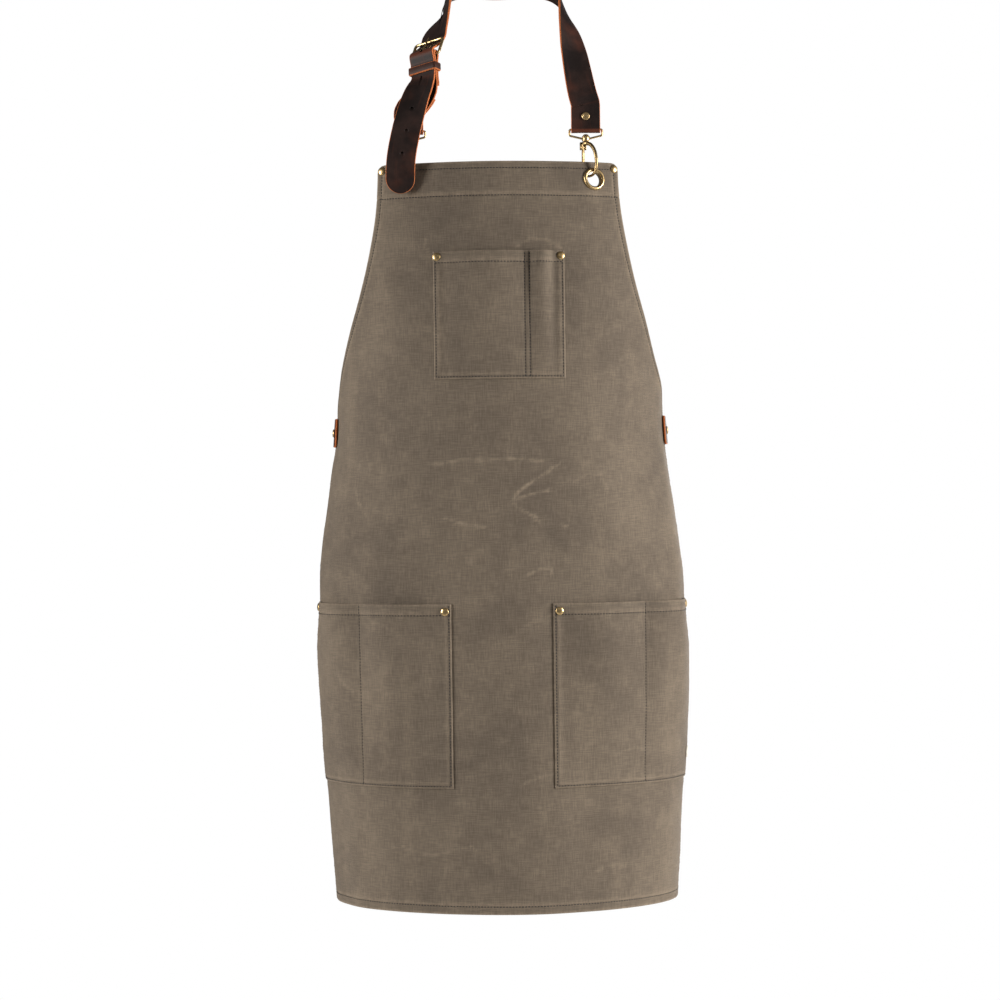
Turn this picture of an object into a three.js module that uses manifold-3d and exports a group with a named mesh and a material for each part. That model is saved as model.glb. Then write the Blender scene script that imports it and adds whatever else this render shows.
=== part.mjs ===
// Butcher's bib apron in waxed canvas with leather neck and waist straps.
// Millimetres, +Z up.  The wearer faces -Y, and +X is to the right of someone looking at the wearer.
// The origin is on the inner face of the neck strap, where it rests on the nape of the neck.
import * as THREE from 'three';
import { mergeVertices } from 'three/addons/utils/BufferGeometryUtils.js';
import Module from 'manifold-3d';

const wasm = await Module();
wasm.setup();

// ---------------------------------------------------------------- driving dimensions

const gap = 0.35; // between pieces that lie on each other
const clothThickness = 1.2;
const halfWidth = 250; // flat half width of the skirt
const bibHalfWidth = 134; // flat half width of the top of the bib
const bibTop = -212.5; // heights are below the nape
const waistHeight = -484; // where the armhole curve meets the side hem
const hemHeight = -1008;
const cornerRadius = 9;
const facingHeight = 32;

const chestPocket = { half: 69.5, top: -309, height: 135, divider: 29.5 };
const hipPocket = { inner: 53.8, fromSide: 3, top: -681, height: 195, dividerFromSide: 91 };
const pocketGape = 9; // how far a pocket's mouth stands off the panel
const seamMargin = 13; // width along a pocket's riveted sides that lies flat on the panel
const dividerMargin = 3; // the same beside a stitched divider
const label = { fromSide: 10, width: 9, height: 12, belowPocketMouth: 168, standoff: 1.6, thickness: 0.6 };

const leatherThickness = 2.4;
const strapWidth = 31;
const holePitch = 25;
const holeRadius = 2.2;

const rivet = {
  capRadius: 4.2, capHeight: 1.6, backRadius: 3.8, backHeight: 1.1, stem: 1.2, bore: 1.6,
  seat: 1.1, // behind the cloth, which is flat between its grid lines
};
const grommet = {
  hole: 8, barrelWall: 0.8, flange: 12.2, washer: 11.2, lip: 1.1, fromTop: 18.5,
  across: 104.5, // from the middle, along the cloth
};

const eyeWire = 1.1; // radius
const eyeDrop = 9.8; // from the eye's top bar down to the centre of its swivel collar
const collar = { radius: 4.2, height: 5.6 };
const hookWire = 1.6; // radius
const hookPost = 1.8; // radius of the swivel post
const hookYaw = THREE.MathUtils.degToRad(40);
const hookAcross = 94.5; // swivel axis from the middle of the apron
const barAboveBib = 35.5;
// Middle of the right eye's top bar.
const hookBar = new THREE.Vector3(hookAcross, -119.3, bibTop + barAboveBib);
const gatePin = { across: -4.5, down: -9, radius: 0.8 };
const gateHalf = 1.2;

const buckle = { wire: 1.6, length: 22, sideClearance: 1.2, prongWire: 1.0 };
const keeperHeight = 9;

// Torso that the cloth hangs round: half width, depth of the side behind the front, and y of the front.
const torso = [
  { z: -1008, half: 186, depth: 132, front: -163 },
  { z: -690, half: 198, depth: 120, front: -160 },
  { z: -497, half: 178, depth: 140, front: -168 },
  { z: -330, half: 174, depth: 115, front: -163 },
  { z: -212, half: 172, depth: 100, front: -143 },
];
const backDepth = 90; // how far the wearer's back lies behind the sides at the waist strap
const waistStrapHeight = -497;

// ---------------------------------------------------------------- materials

const canvas = () => new THREE.MeshStandardMaterial({ color: 0x6b6055, roughness: 0.75, metalness: 0 });
const leather = () => new THREE.MeshStandardMaterial({ color: 0x3a2a24, roughness: 0.6, metalness: 0 });
const brass = () => new THREE.MeshStandardMaterial({ color: 0x9c7b3e, roughness: 0.35, metalness: 1 });
const woven = () => new THREE.MeshStandardMaterial({ color: 0xd8d4cc, roughness: 0.8, metalness: 0 });

const apron = new THREE.Group();

function add(name, geometry, material, frame = new THREE.Matrix4()) {
  const mesh = new THREE.Mesh(geometry, material());
  mesh.name = name;
  mesh.applyMatrix4(frame);
  apron.add(mesh);
}

// ---------------------------------------------------------------- solids

function indexed(positions, faces) {
  const geometry = new THREE.BufferGeometry();
  geometry.setAttribute('position', new THREE.Float32BufferAttribute(positions, 3));
  geometry.setIndex(faces);
  return outward(geometry);
}

// Merges shared vertices and turns the faces so that they point out.
function outward(source) {
  let geometry = source.clone();
  geometry.deleteAttribute('normal');
  geometry.deleteAttribute('uv');
  geometry = mergeVertices(geometry, 1e-4);
  const at = geometry.getAttribute('position');
  const old = geometry.getIndex().array;
  const faces = [];
  const corners = [new THREE.Vector3(), new THREE.Vector3(), new THREE.Vector3()];
  let volume = 0;
  for (let i = 0; i < old.length; i += 3) {
    const [a, b, c] = [old[i], old[i + 1], old[i + 2]];
    if (a === b || b === c || c === a) continue;
    faces.push(a, b, c);
    corners.forEach((corner, k) => corner.fromBufferAttribute(at, [a, b, c][k]));
    volume += corners[0].dot(corners[1].clone().cross(corners[2]));
  }
  if (volume < 0) faces.reverse();
  geometry.setIndex(faces);
  return geometry;
}

function toSolid(geometry) {
  const clean = outward(geometry);
  const mesh = new wasm.Mesh({
    numProp: 3,
    vertProperties: new Float32Array(clean.getAttribute('position').array),
    triVerts: new Uint32Array(clean.getIndex().array),
  });
  return new wasm.Manifold(mesh);
}

function toGeometry(solid) {
  const mesh = solid.getMesh();
  const geometry = new THREE.BufferGeometry();
  geometry.setAttribute('position', new THREE.Float32BufferAttribute(mesh.vertProperties, 3));
  geometry.setIndex(new THREE.Uint32BufferAttribute(mesh.triVerts, 1));
  return geometry;
}

function cut(geometry, cutters) {
  return toGeometry(cutters.reduce((solid, cutter) => solid.subtract(toSolid(cutter)), toSolid(geometry)));
}

function join(...pieces) {
  return toGeometry(pieces.map(toSolid).reduce((sum, piece) => sum.add(piece)));
}

// Skins a row of rings that have the same number of points; a closed row joins its last ring to its first.
function loft(rings, closed = false) {
  const size = rings[0].length;
  const positions = rings.flat().flatMap((point) => point.toArray());
  const faces = [];
  const rows = closed ? rings.length : rings.length - 1;
  for (let row = 0; row < rows; row += 1) {
    const next = (row + 1) % rings.length;
    for (let k = 0; k < size; k += 1) {
      const step = (k + 1) % size;
      const [a, b] = [row * size + k, row * size + step];
      const [c, d] = [next * size + step, next * size + k];
      faces.push(a, b, c, a, c, d);
    }
  }
  if (!closed) {
    const last = (rings.length - 1) * size;
    for (let k = 1; k < size - 1; k += 1) {
      faces.push(0, k + 1, k);
      faces.push(last, last + k, last + k + 1);
    }
  }
  return indexed(positions, faces);
}

function lathe(profile, segments) {
  return outward(new THREE.LatheGeometry(profile.map(([r, y]) => new THREE.Vector2(r, y)), segments));
}

function ringProfile(inner, outer, low, high) {
  return [[inner, low], [outer, low], [outer, high], [inner, high], [inner, low]];
}

// A frame whose local x runs across, y points outward and z runs up along a strap or the cloth.
function frameAt(origin, up, out) {
  const z = up.clone().normalize();
  const x = out.clone().cross(z).normalize();
  const y = z.clone().cross(x);
  return new THREE.Matrix4().makeBasis(x, y, z).setPosition(origin);
}

const inFrame = (frame, x, y, z) => new THREE.Vector3(x, y, z).applyMatrix4(frame);
const axisOf = (frame, index) => new THREE.Vector3().setFromMatrixColumn(frame, index);

function borer(frame, radius, length = 24) {
  const segments = radius > 5 ? 20 : 8;
  return new THREE.CylinderGeometry(radius, radius, length, segments).applyMatrix4(frame);
}

// ---------------------------------------------------------------- cloth

// Smooth value between the torso's stations.
function torsoAt(height, key) {
  const z = THREE.MathUtils.clamp(height, torso[0].z, torso[torso.length - 1].z);
  const slope = (i) => {
    const low = torso[Math.max(i - 1, 0)];
    const high = torso[Math.min(i + 1, torso.length - 1)];
    return (high[key] - low[key]) / (high.z - low.z);
  };
  const found = torso.findIndex((station) => station.z >= z);
  const i = THREE.MathUtils.clamp(found - 1, 0, torso.length - 2);
  const [low, high] = [torso[i], torso[i + 1]];
  const span = high.z - low.z;
  const t = (z - low.z) / span;
  const rise = (3 - 2 * t) * t * t;
  const start = t * (1 - t) * (1 - t) * span * slope(i);
  const end = t * t * (t - 1) * span * slope(i + 1);
  return low[key] * (1 - rise) + high[key] * rise + start + end;
}

// Angle round the torso's section at a distance s along it from the middle of the front: half an
// ellipse in front of the widest place, and half a flatter one behind it.
function angleAt(s, half, depth) {
  const steps = 240;
  const step = Math.PI / steps;
  let walked = 0;
  for (let k = 0; k < steps; k += 1) {
    const middle = (k + 0.5) * step;
    const reach = middle < Math.PI / 2 ? depth : backDepth;
    const piece = step * Math.hypot(half * Math.cos(middle), reach * Math.sin(middle));
    if (walked + piece >= Math.abs(s)) return Math.sign(s) * (k + (Math.abs(s) - walked) / piece) * step;
    walked += piece;
  }
  return Math.sign(s) * Math.PI;
}

// Point of the hanging cloth: s across from the middle, z the height, lift outward from the lining side.
function onTorso(s, z, lift) {
  const half = torsoAt(z, 'half');
  const depth = torsoAt(z, 'depth');
  const angle = angleAt(s, half, depth);
  const reach = Math.abs(angle) < Math.PI / 2 ? depth : backDepth;
  const y = torsoAt(z, 'front') + depth - reach * Math.cos(angle);
  const out = new THREE.Vector3(reach * Math.sin(angle), -half * Math.cos(angle), 0).normalize();
  return new THREE.Vector3(half * Math.sin(angle), y, z).addScaledVector(out, lift);
}

// Frame on the cloth with y along its outward normal.
function clothFrame(s, z, lift) {
  const step = 2;
  const up = onTorso(s, z + step, lift).sub(onTorso(s, z - step, lift));
  const side = onTorso(s + step, z, lift).sub(onTorso(s - step, z, lift));
  return frameAt(onTorso(s, z, lift), up, side.cross(up).normalize());
}

// A sheet between two lifts, over rows of heights from the bottom up and the lines of s for each row.
function sheet(rows, linesAt, backLift, frontLift) {
  const grid = rows.map((z) => linesAt(z).map((s) => ({ s, z })));
  const width = grid[0].length;
  const layer = (lift) => grid.flat().flatMap(({ s, z }) => onTorso(s, z, lift(s, z)).toArray());
  const positions = [...layer(frontLift), ...layer(backLift)];
  const back = rows.length * width;
  const faces = [];
  for (let row = 0; row < rows.length - 1; row += 1) {
    for (let k = 0; k < width - 1; k += 1) {
      const a = row * width + k;
      const [b, c, d] = [a + 1, a + width + 1, a + width];
      faces.push(a, b, c, a, c, d);
      faces.push(back + a, back + c, back + b, back + a, back + d, back + c);
    }
  }
  const rim = [];
  for (let k = 0; k < width - 1; k += 1) rim.push([k, k + 1]);
  for (let row = 0; row < rows.length - 1; row += 1) rim.push([(row + 1) * width - 1, (row + 2) * width - 1]);
  for (let k = width - 1; k > 0; k -= 1) rim.push([back - width + k, back - width + k - 1]);
  for (let row = rows.length - 1; row > 0; row -= 1) rim.push([row * width, (row - 1) * width]);
  rim.forEach(([from, to]) => faces.push(from, back + from, back + to, from, back + to, to));
  return indexed(positions, faces);
}

function between(low, high, count) {
  return Array.from({ length: count + 1 }, (_, k) => low + ((high - low) * k) / count);
}

const panelColumns = 32;
const gridStep = (2 * halfWidth) / panelColumns;

// The armhole is a parabola from the top of the bib to the side hem.
function edgeAt(z) {
  const drop = THREE.MathUtils.clamp((bibTop - z) / (bibTop - waistHeight), 0, 1);
  const edge = bibHalfWidth + (halfWidth - bibHalfWidth) * drop * drop;
  const fromCorner = Math.min(bibTop - z, z - hemHeight);
  if (fromCorner >= cornerRadius) return edge;
  const short = cornerRadius - fromCorner;
  return edge - cornerRadius + Math.sqrt(cornerRadius ** 2 - short ** 2);
}

// Rows of the shared grid, so that sheets that lie on each other bend alike.
const cornerRows = [0, 1.2, 4, cornerRadius]; // from the hem or the top of the bib
const skirtPitch = 71.7;
const skirtTop = waistHeight - 46;
const skirtCount = Math.floor((skirtTop - hemHeight - 24) / skirtPitch);
const skirtRows = between(skirtTop - skirtCount * skirtPitch, skirtTop, skirtCount);
const bibRows = [...between(waistHeight, bibTop - 40, 5), bibTop - 24];
const panelRows = [
  ...cornerRows.map((row) => hemHeight + row), ...skirtRows,
  ...bibRows, ...cornerRows.map((row) => bibTop - row).reverse(),
];

// Lines of the shared grid between two edges.
function gridLines(low, high) {
  const first = Math.ceil((low + 2) / gridStep);
  const last = Math.floor((high - 2) / gridStep);
  const inside = Array.from({ length: last - first + 1 }, (_, k) => (first + k) * gridStep);
  return [low, ...inside, high];
}

const onFront = (lift) => () => clothThickness + lift;

// ---------------------------------------------------------------- rivets and grommets

// A double cap rivet: the frame's y points out of the outermost face, and grip is the stack's thickness.
function addRivet(name, frame, grip) {
  const { capRadius, capHeight, backRadius, backHeight, stem, bore, seat } = rivet;
  const start = -grip - seat;
  const end = start - backHeight;
  const dome = [[0, 1], [0.55, 0.85], [0.88, 0.45], [1, 0]]; // shares of the cap's radius and height
  const cap = dome.map(([across, rise]) => [capRadius * across, capHeight * rise + gap]);
  cap.push([stem, gap], [stem, end + 0.2], [0, end + 0.2]);
  add(`${name}_cap`, lathe(cap, 8), brass, frame);
  const inset = capRadius - backRadius;
  const back = [[bore, start], [backRadius, start], [backRadius - inset, end], [bore, end], [bore, start]];
  add(`${name}_back`, lathe(back, 8), brass, frame);
}

const rivetSpots = {
  corner: { s: bibHalfWidth - 5.5, z: bibTop - 6.5, lift: clothThickness, grip: 2 * clothThickness + gap },
  chest: { s: chestPocket.half - 4, z: chestPocket.top - 5.5, lift: 2 * clothThickness + gap },
  hip_inner: { s: hipPocket.inner + 6.5, z: hipPocket.top - 8, lift: 2 * clothThickness + gap },
  hip_outer: { s: halfWidth - 7.5, z: hipPocket.top - 6, lift: 2 * clothThickness + gap },
};

const stackGrip = 2 * clothThickness + gap;
const sides = { left: -1, right: 1 };
const clothBores = [];
for (const [kind, spot] of Object.entries(rivetSpots)) {
  for (const [side, sign] of Object.entries(sides)) {
    const frame = clothFrame(sign * spot.s, spot.z, spot.lift);
    addRivet(`rivet_${kind}_${side}`, frame, stackGrip);
    clothBores.push({ kind, side, cutter: borer(frame, rivet.bore) });
  }
}

const grommetHeight = bibTop - grommet.fromTop;
for (const [side, sign] of Object.entries(sides)) {
  const { hole, barrelWall, flange, washer, lip } = grommet;
  const frame = clothFrame(sign * grommet.across, grommetHeight, clothThickness);
  const outer = hole + barrelWall;
  const back = -stackGrip - gap;
  const rollEnd = back - lip - gap;
  const roll = 1.4; // how far the barrel's end is rolled out over the washer
  const eyelet = [
    [outer, gap], [flange, gap], [flange - 0.6, gap + 0.8], [hole + 2, gap + lip], [hole, gap + 0.5],
    [hole, rollEnd - 0.7], [outer + roll, rollEnd - 0.7], [outer + roll, rollEnd], [outer, rollEnd + 0.1],
    [outer, gap],
  ];
  add(`grommet_${side}`, lathe(eyelet, 20), brass, frame);
  const ring = ringProfile(outer + gap, washer, back - lip, back - gap);
  add(`grommet_washer_${side}`, lathe(ring, 20), brass, frame);
  clothBores.push({ kind: 'grommet', side, cutter: borer(frame, outer + gap) });
}

function boresOf(...kinds) {
  return clothBores.filter(({ kind }) => kinds.includes(kind)).map(({ cutter }) => cutter);
}

// ---------------------------------------------------------------- panel, facing and pockets

const tabStandoff = 1.5; // the stiff strap touches the bulging hem only along its middle
const waistRivet = { s: halfWidth - 9, z: waistStrapHeight };
const waistFrames = {};
for (const [side, sign] of Object.entries(sides)) {
  const lift = clothThickness + tabStandoff + leatherThickness;
  waistFrames[side] = clothFrame(sign * waistRivet.s, waistRivet.z, lift);
  addRivet(`rivet_waist_${side}`, waistFrames[side], lift);
}
const waistBores = Object.values(waistFrames).map((frame) => borer(frame, rivet.bore));

const panelLines = (z) => between(-edgeAt(z), edgeAt(z), panelColumns);
const panel = sheet(panelRows, panelLines, () => 0, onFront(0));
const panelBores = boresOf('corner', 'chest', 'hip_inner', 'hip_outer', 'grommet');
add('apron_panel', cut(panel, [...panelBores, ...waistBores]), canvas);

const facingRows = panelRows.filter((z) => z > bibTop - facingHeight && z < bibTop - 1);
const facing = sheet(
  [bibTop - facingHeight, ...facingRows],
  (z) => between(1 - edgeAt(z), edgeAt(z) - 1, panelColumns / 2),
  () => -gap - clothThickness,
  () => -gap,
);
add('bib_facing', cut(facing, boresOf('corner', 'grommet')), canvas);

// A pocket lies on the panel along its sides, foot and dividers, and its mouth stands off between them.
function pocket(low, high, top, height, seams) {
  const foot = top - height;
  const stops = [low, ...seams, high];
  const margins = stops.map((_, k) => (k === 0 || k === stops.length - 1 ? seamMargin : dividerMargin));
  const mouths = stops.slice(1).map((stop, k) => [stops[k] + margins[k], stop - margins[k + 1]]);
  const lines = [...stops, ...mouths.flatMap(([start, end]) => gridLines(start, end))].sort((a, b) => a - b);
  const lift = (s, z) => {
    const k = THREE.MathUtils.clamp(stops.findIndex((stop) => stop >= s), 1, stops.length - 1);
    const [start, end] = mouths[k - 1];
    const t = THREE.MathUtils.clamp((s - start) / (end - start), 0, 1);
    const risen = THREE.MathUtils.clamp((z - foot) / height, 0, 1);
    return gap + pocketGape * Math.sin(Math.PI * t) * risen ** 0.7;
  };
  const back = (s, z) => clothThickness + lift(s, z);
  return sheet(between(foot, top, 5), () => lines, back, (s, z) => back(s, z) + clothThickness);
}

const { half: chestHalf, top: chestTop, height: chestHeight, divider: chestDivider } = chestPocket;
const chest = pocket(-chestHalf, chestHalf, chestTop, chestHeight, [chestDivider]);
add('chest_pocket', cut(chest, boresOf('chest')), canvas);

for (const [side, sign] of Object.entries(sides)) {
  const outer = halfWidth - hipPocket.fromSide;
  const divider = halfWidth - hipPocket.dividerFromSide;
  const [low, high] = sign < 0 ? [-outer, -hipPocket.inner] : [hipPocket.inner, outer];
  const body = pocket(low, high, hipPocket.top, hipPocket.height, [sign * divider]);
  add(`hip_pocket_${side}`, cut(body, boresOf('hip_inner', 'hip_outer')), canvas);
}

const labelLift = 2 * clothThickness + 2 * gap + label.standoff;
const labelHeight = hipPocket.top - label.belowPocketMouth;
const labelHigh = halfWidth - label.fromSide + label.width / 2;
const labelRows = between(labelHeight - label.height / 2, labelHeight + label.height / 2, 2);
const labelLines = between(labelHigh - label.width, labelHigh, 4);
const labelFront = labelLift + label.thickness;
add('side_label', sheet(labelRows, () => labelLines, () => labelLift, () => labelFront), woven);

// ---------------------------------------------------------------- leather

// Leather lofted through sections, each with a middle, the direction across and the direction out.
function leatherSolid(sections, width = () => strapWidth) {
  const rings = sections.map(({ middle, across, out }, k) => {
    const half = width(k, sections) / 2;
    const corner = (a, b) => middle.clone().addScaledVector(across, a * half).addScaledVector(out, b);
    const thick = leatherThickness / 2;
    return [corner(-1, -thick), corner(1, -thick), corner(1, thick), corner(-1, thick)];
  });
  return loft(rings);
}

// Sections at the places where a strap follows a bar: turning from one angle to another about the bar.
function wrapSections(frame, radius, from, to, steps = 8) {
  return between(from, to, steps).map((degrees) => {
    const angle = THREE.MathUtils.degToRad(degrees);
    const out = axisOf(frame, 1).multiplyScalar(Math.cos(angle));
    out.addScaledVector(axisOf(frame, 2), Math.sin(angle));
    const middle = inFrame(frame, 0, 0, 0).addScaledVector(out, radius);
    return { middle, across: axisOf(frame, 0), out };
  });
}

// Sections along a smooth route through stations, each with a point and the direction out of the leather.
function routeSections(stations, perSpan = 3) {
  const middles = new THREE.CatmullRomCurve3(stations.map(({ point }) => point), false, 'centripetal');
  const directions = stations.map(({ out }) => out.clone().normalize());
  const outs = new THREE.CatmullRomCurve3(directions, false, 'catmullrom');
  return between(0, 1, (stations.length - 1) * perSpan).map((t) => {
    const along = middles.getTangent(t);
    const out = outs.getPoint(t);
    out.addScaledVector(along, -out.dot(along)).normalize();
    return { middle: middles.getPoint(t), across: out.clone().cross(along).normalize(), out };
  });
}

const layerSpacing = leatherThickness / 2 + gap / 2; // from the middle of a folded strap to each layer
const wrapRadius = (bar) => bar + gap + leatherThickness / 2;

// Distance of a folded layer from the fold's middle plane: wide at the bar and closed from 11 mm on.
function layerOffset(bar, distance) {
  const t = THREE.MathUtils.clamp(distance / 11, 0, 1);
  return THREE.MathUtils.lerp(wrapRadius(bar), layerSpacing, (3 - 2 * t) * t * t);
}

// One layer of a fold in a frame at the bar, walked through the given distances along the frame's z.
function layerSections(frame, bar, face, distances) {
  return distances.map((distance) => ({
    middle: inFrame(frame, 0, face * layerOffset(bar, Math.abs(distance)), distance),
    across: axisOf(frame, 0).multiplyScalar(face),
    out: axisOf(frame, 1).multiplyScalar(face),
  }));
}

// Width that ends in a half circle at the last section.
function roundEnd(k, sections) {
  const end = sections[sections.length - 1].middle;
  const distance = sections[k].middle.distanceTo(end);
  const radius = strapWidth / 2;
  if (distance >= radius) return strapWidth;
  return Math.max(2 * Math.sqrt(radius ** 2 - (radius - distance) ** 2), 4);
}

// Adds sections close together over the last stretch, so that the round end is smooth.
function withFineEnd(sections) {
  const last = sections[sections.length - 1];
  const before = sections.findLast(({ middle }) => middle.distanceTo(last.middle) > strapWidth / 2 + 4);
  const kept = sections.slice(0, sections.indexOf(before) + 1);
  const fine = [0.25, 0.5, 0.68, 0.82, 0.92, 0.98, 1].map((t) => ({
    middle: before.middle.clone().lerp(last.middle, t),
    across: last.across,
    out: last.out,
  }));
  return [...kept, ...fine];
}

const foldLength = 27;
const foldRivet = 14;
const foldSteps = [3, 6, 9, 12, 16, 20, foldLength];

// ---------------------------------------------------------------- buckles

// The buckle frame's origin is the middle of the heel bar, z runs to the outer bar and y points out.
function addBuckle(prefix, frame) {
  const half = strapWidth / 2 + buckle.sideClearance + buckle.wire;
  const corner = 4;
  const outline = new THREE.Shape();
  outline.absarc(half - corner, buckle.length - corner, corner, 0, Math.PI / 2);
  outline.absarc(corner - half, buckle.length - corner, corner, Math.PI / 2, Math.PI);
  outline.lineTo(-half, 0);
  outline.lineTo(half, 0);
  const points = outline.getPoints(3);
  if (points[0].distanceTo(points[points.length - 1]) < 1e-6) points.pop();
  const rings = points.map((point, k) => {
    const before = points[(k + points.length - 1) % points.length];
    const after = points[(k + 1) % points.length];
    const arriving = point.clone().sub(before).normalize();
    const along = after.clone().sub(point).normalize().add(arriving);
    const side = new THREE.Vector3(along.y, 0, -along.x).normalize();
    const stretch = Math.abs(side.x * arriving.y - side.z * arriving.x);
    return between(0, 2 * Math.PI, 8).slice(1).map((angle) => {
      const reach = (buckle.wire * Math.cos(angle)) / Math.max(stretch, 0.6);
      const middle = new THREE.Vector3(point.x, 0, point.y).addScaledVector(side, reach);
      return middle.add(new THREE.Vector3(0, buckle.wire * Math.sin(angle), 0));
    });
  });
  add(`${prefix}_buckle_frame`, loft(rings, true), brass, frame);

  const loop = buckle.wire + gap + buckle.prongWire;
  const eye = new THREE.TorusGeometry(loop, buckle.prongWire, 6, 12).rotateY(Math.PI / 2);
  const tipRise = buckle.wire + gap + buckle.prongWire;
  const hump = 1.6; // over the strap between the bars
  const stations = [[1.2, loop], [3, loop + hump], [12, tipRise + hump], [buckle.length + 3, tipRise]];
  const shaft = new THREE.CatmullRomCurve3(stations.map(([z, y]) => new THREE.Vector3(0, y, z)));
  const section = new THREE.Shape().absarc(0, 0, buckle.prongWire, 0, 2 * Math.PI);
  const blade = new THREE.ExtrudeGeometry(section, { steps: 6, curveSegments: 4, extrudePath: shaft });
  add(`${prefix}_buckle_prong`, join(eye, blade), brass, frame);
}

// A band round a stack of leather that reaches from one lift to another in the frame's y.
function keeperGeometry(low, high) {
  const wall = 1.8;
  const band = (grow) => {
    const across = strapWidth / 2 + gap + 0.4 + grow;
    const [bottom, top] = [low - gap - grow, high + gap + grow];
    const points = [[-across, bottom], [across, bottom], [across, top], [-across, top]];
    return points.map(([x, y]) => new THREE.Vector2(x, y));
  };
  const shape = new THREE.Shape(band(wall));
  shape.holes.push(new THREE.Path(band(0)));
  const solid = new THREE.ExtrudeGeometry(shape, { depth: keeperHeight, bevelEnabled: false });
  return outward(solid.translate(0, 0, -keeperHeight / 2));
}

// Where the free strap passes the buckle: under the outer bar and over the folded end on the heel bar.
const underBar = buckle.wire + gap + leatherThickness / 2 + 1.1;
const overBar = buckle.wire + gap + leatherThickness + gap + leatherThickness / 2 + 0.8;
const crossing = 0.48 * buckle.length;

function prongSlot(frame) {
  const slot = new THREE.BoxGeometry(4, 26, 13).translate(0, 4, crossing - 3.9);
  return slot.applyMatrix4(frame);
}

// ---------------------------------------------------------------- snap hooks

const hookHeight = hookBar.z - eyeDrop;

function tube(points, radius, steps) {
  const curve = new THREE.CatmullRomCurve3(points.map(([x, z]) => new THREE.Vector3(x, 0, z)));
  const section = new THREE.Shape().absarc(0, 0, radius, 0, 2 * Math.PI);
  return new THREE.ExtrudeGeometry(section, { steps, curveSegments: 4, extrudePath: curve });
}

function turned(profile, segments) {
  return lathe(profile, segments).rotateX(Math.PI / 2);
}

function eyeGeometry() {
  const half = strapWidth / 2 + 0.8 + eyeWire;
  const foot = 2.5; // half width where the wire enters the collar
  const shoulder = eyeDrop - 6;
  const outline = [
    [-half, eyeDrop], [half, eyeDrop], [half, shoulder], [foot, 0], [-foot, 0], [-half, shoulder],
  ];
  const rings = outline.map(([x, z], k) => {
    const [bx, bz] = outline[(k + outline.length - 1) % outline.length];
    const [ax, az] = outline[(k + 1) % outline.length];
    const arriving = new THREE.Vector2(x - bx, z - bz).normalize();
    const along = new THREE.Vector2(ax - x, az - z).normalize().add(arriving).normalize();
    const stretch = along.dot(arriving);
    return between(0, 2 * Math.PI, 8).slice(1).map((angle) => {
      const reach = (eyeWire * Math.cos(angle)) / Math.max(stretch, 0.5);
      return new THREE.Vector3(x + along.y * reach, eyeWire * Math.sin(angle), z - along.x * reach);
    });
  });
  const barrel = new THREE.CylinderGeometry(collar.radius, collar.radius, collar.height, 16);
  const bore = new THREE.CylinderGeometry(hookPost + gap, hookPost + gap, 2 * collar.height, 12);
  return cut(join(loft(rings, true), barrel.rotateX(Math.PI / 2)), [bore.rotateX(Math.PI / 2)]);
}

function hookGeometry() {
  const top = collar.height / 2 + gap;
  const headRadius = 3.1;
  const headTop = top + 1.1;
  const postFoot = -top - 1;
  const postProfile = [
    [0, headTop], [headRadius, headTop], [headRadius, top],
    [hookPost, top], [hookPost, postFoot], [0, postFoot],
  ];
  const post = turned(postProfile.map(([r, z]) => [r, -z]), 12);
  const shoulder = new THREE.BoxGeometry(11, 5, 3.4).translate(-2, 0, -top - 1.7);
  const armRoute = [
    [1, -5.4], [6, -6.2], [12.5, -12], [16, -21], [16.2, -31], [13, -38], [6, -40.6], [-3.2, -38.6],
  ];
  const arm = tube(armRoute, hookWire, 22);
  const { across, down } = gatePin;
  const cheek = (side) => new THREE.BoxGeometry(5.6, 1, 8).translate(across, side * 2, down + 1.2);
  const pinHole = new THREE.CylinderGeometry(gatePin.radius + gap, gatePin.radius + gap, 8, 10);
  pinHole.translate(gatePin.across, 0, gatePin.down);
  return cut(join(post, shoulder, arm, cheek(-1), cheek(1)), [pinHole]);
}

function gateGeometry() {
  const { across, down } = gatePin;
  const thick = 2 * gateHalf;
  const lever = new THREE.BoxGeometry(2.6, thick, 27.4).translate(across, 0, down - 13.4);
  const knuckle = new THREE.CylinderGeometry(2, 2, thick, 12).translate(across, 0, down);
  const bore = new THREE.CylinderGeometry(gatePin.radius + gap, gatePin.radius + gap, 8, 10);
  bore.translate(gatePin.across, 0, gatePin.down);
  return cut(join(lever, knuckle), [bore]);
}

function pinGeometry() {
  const head = 1.5;
  const profile = [[0, -3.2], [head, -3.2], [head, -2.85], [gatePin.radius, -2.85], [gatePin.radius, 2.85]];
  profile.push([head, 2.85], [head, 3.2], [0, 3.2]);
  return lathe(profile, 10).translate(gatePin.across, 0, gatePin.down);
}

for (const [side, sign] of Object.entries(sides)) {
  const centre = new THREE.Vector3(sign * hookAcross, hookBar.y, hookHeight);
  const plane = new THREE.Vector3(sign * Math.sin(hookYaw), -Math.cos(hookYaw), 0);
  const up = new THREE.Vector3(0, 0, 1);
  const hookFrame = new THREE.Matrix4().makeBasis(plane, up.clone().cross(plane), up).setPosition(centre);
  add(`hook_eye_${side}`, eyeGeometry(), brass, new THREE.Matrix4().setPosition(centre));
  add(`hook_body_${side}`, hookGeometry(), brass, hookFrame);
  add(`hook_gate_${side}`, gateGeometry(), brass, hookFrame);
  add(`gate_pin_${side}`, pinGeometry(), brass, hookFrame);
}

// ---------------------------------------------------------------- neck strap

const vertical = new THREE.Vector3(0, 0, 1);
const forward = new THREE.Vector3(0, -1, 0);
const rightFold = frameAt(hookBar, vertical, forward);
const leftFold = frameAt(hookBar.clone().multiply(new THREE.Vector3(-1, 1, 1)), vertical, forward);

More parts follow.
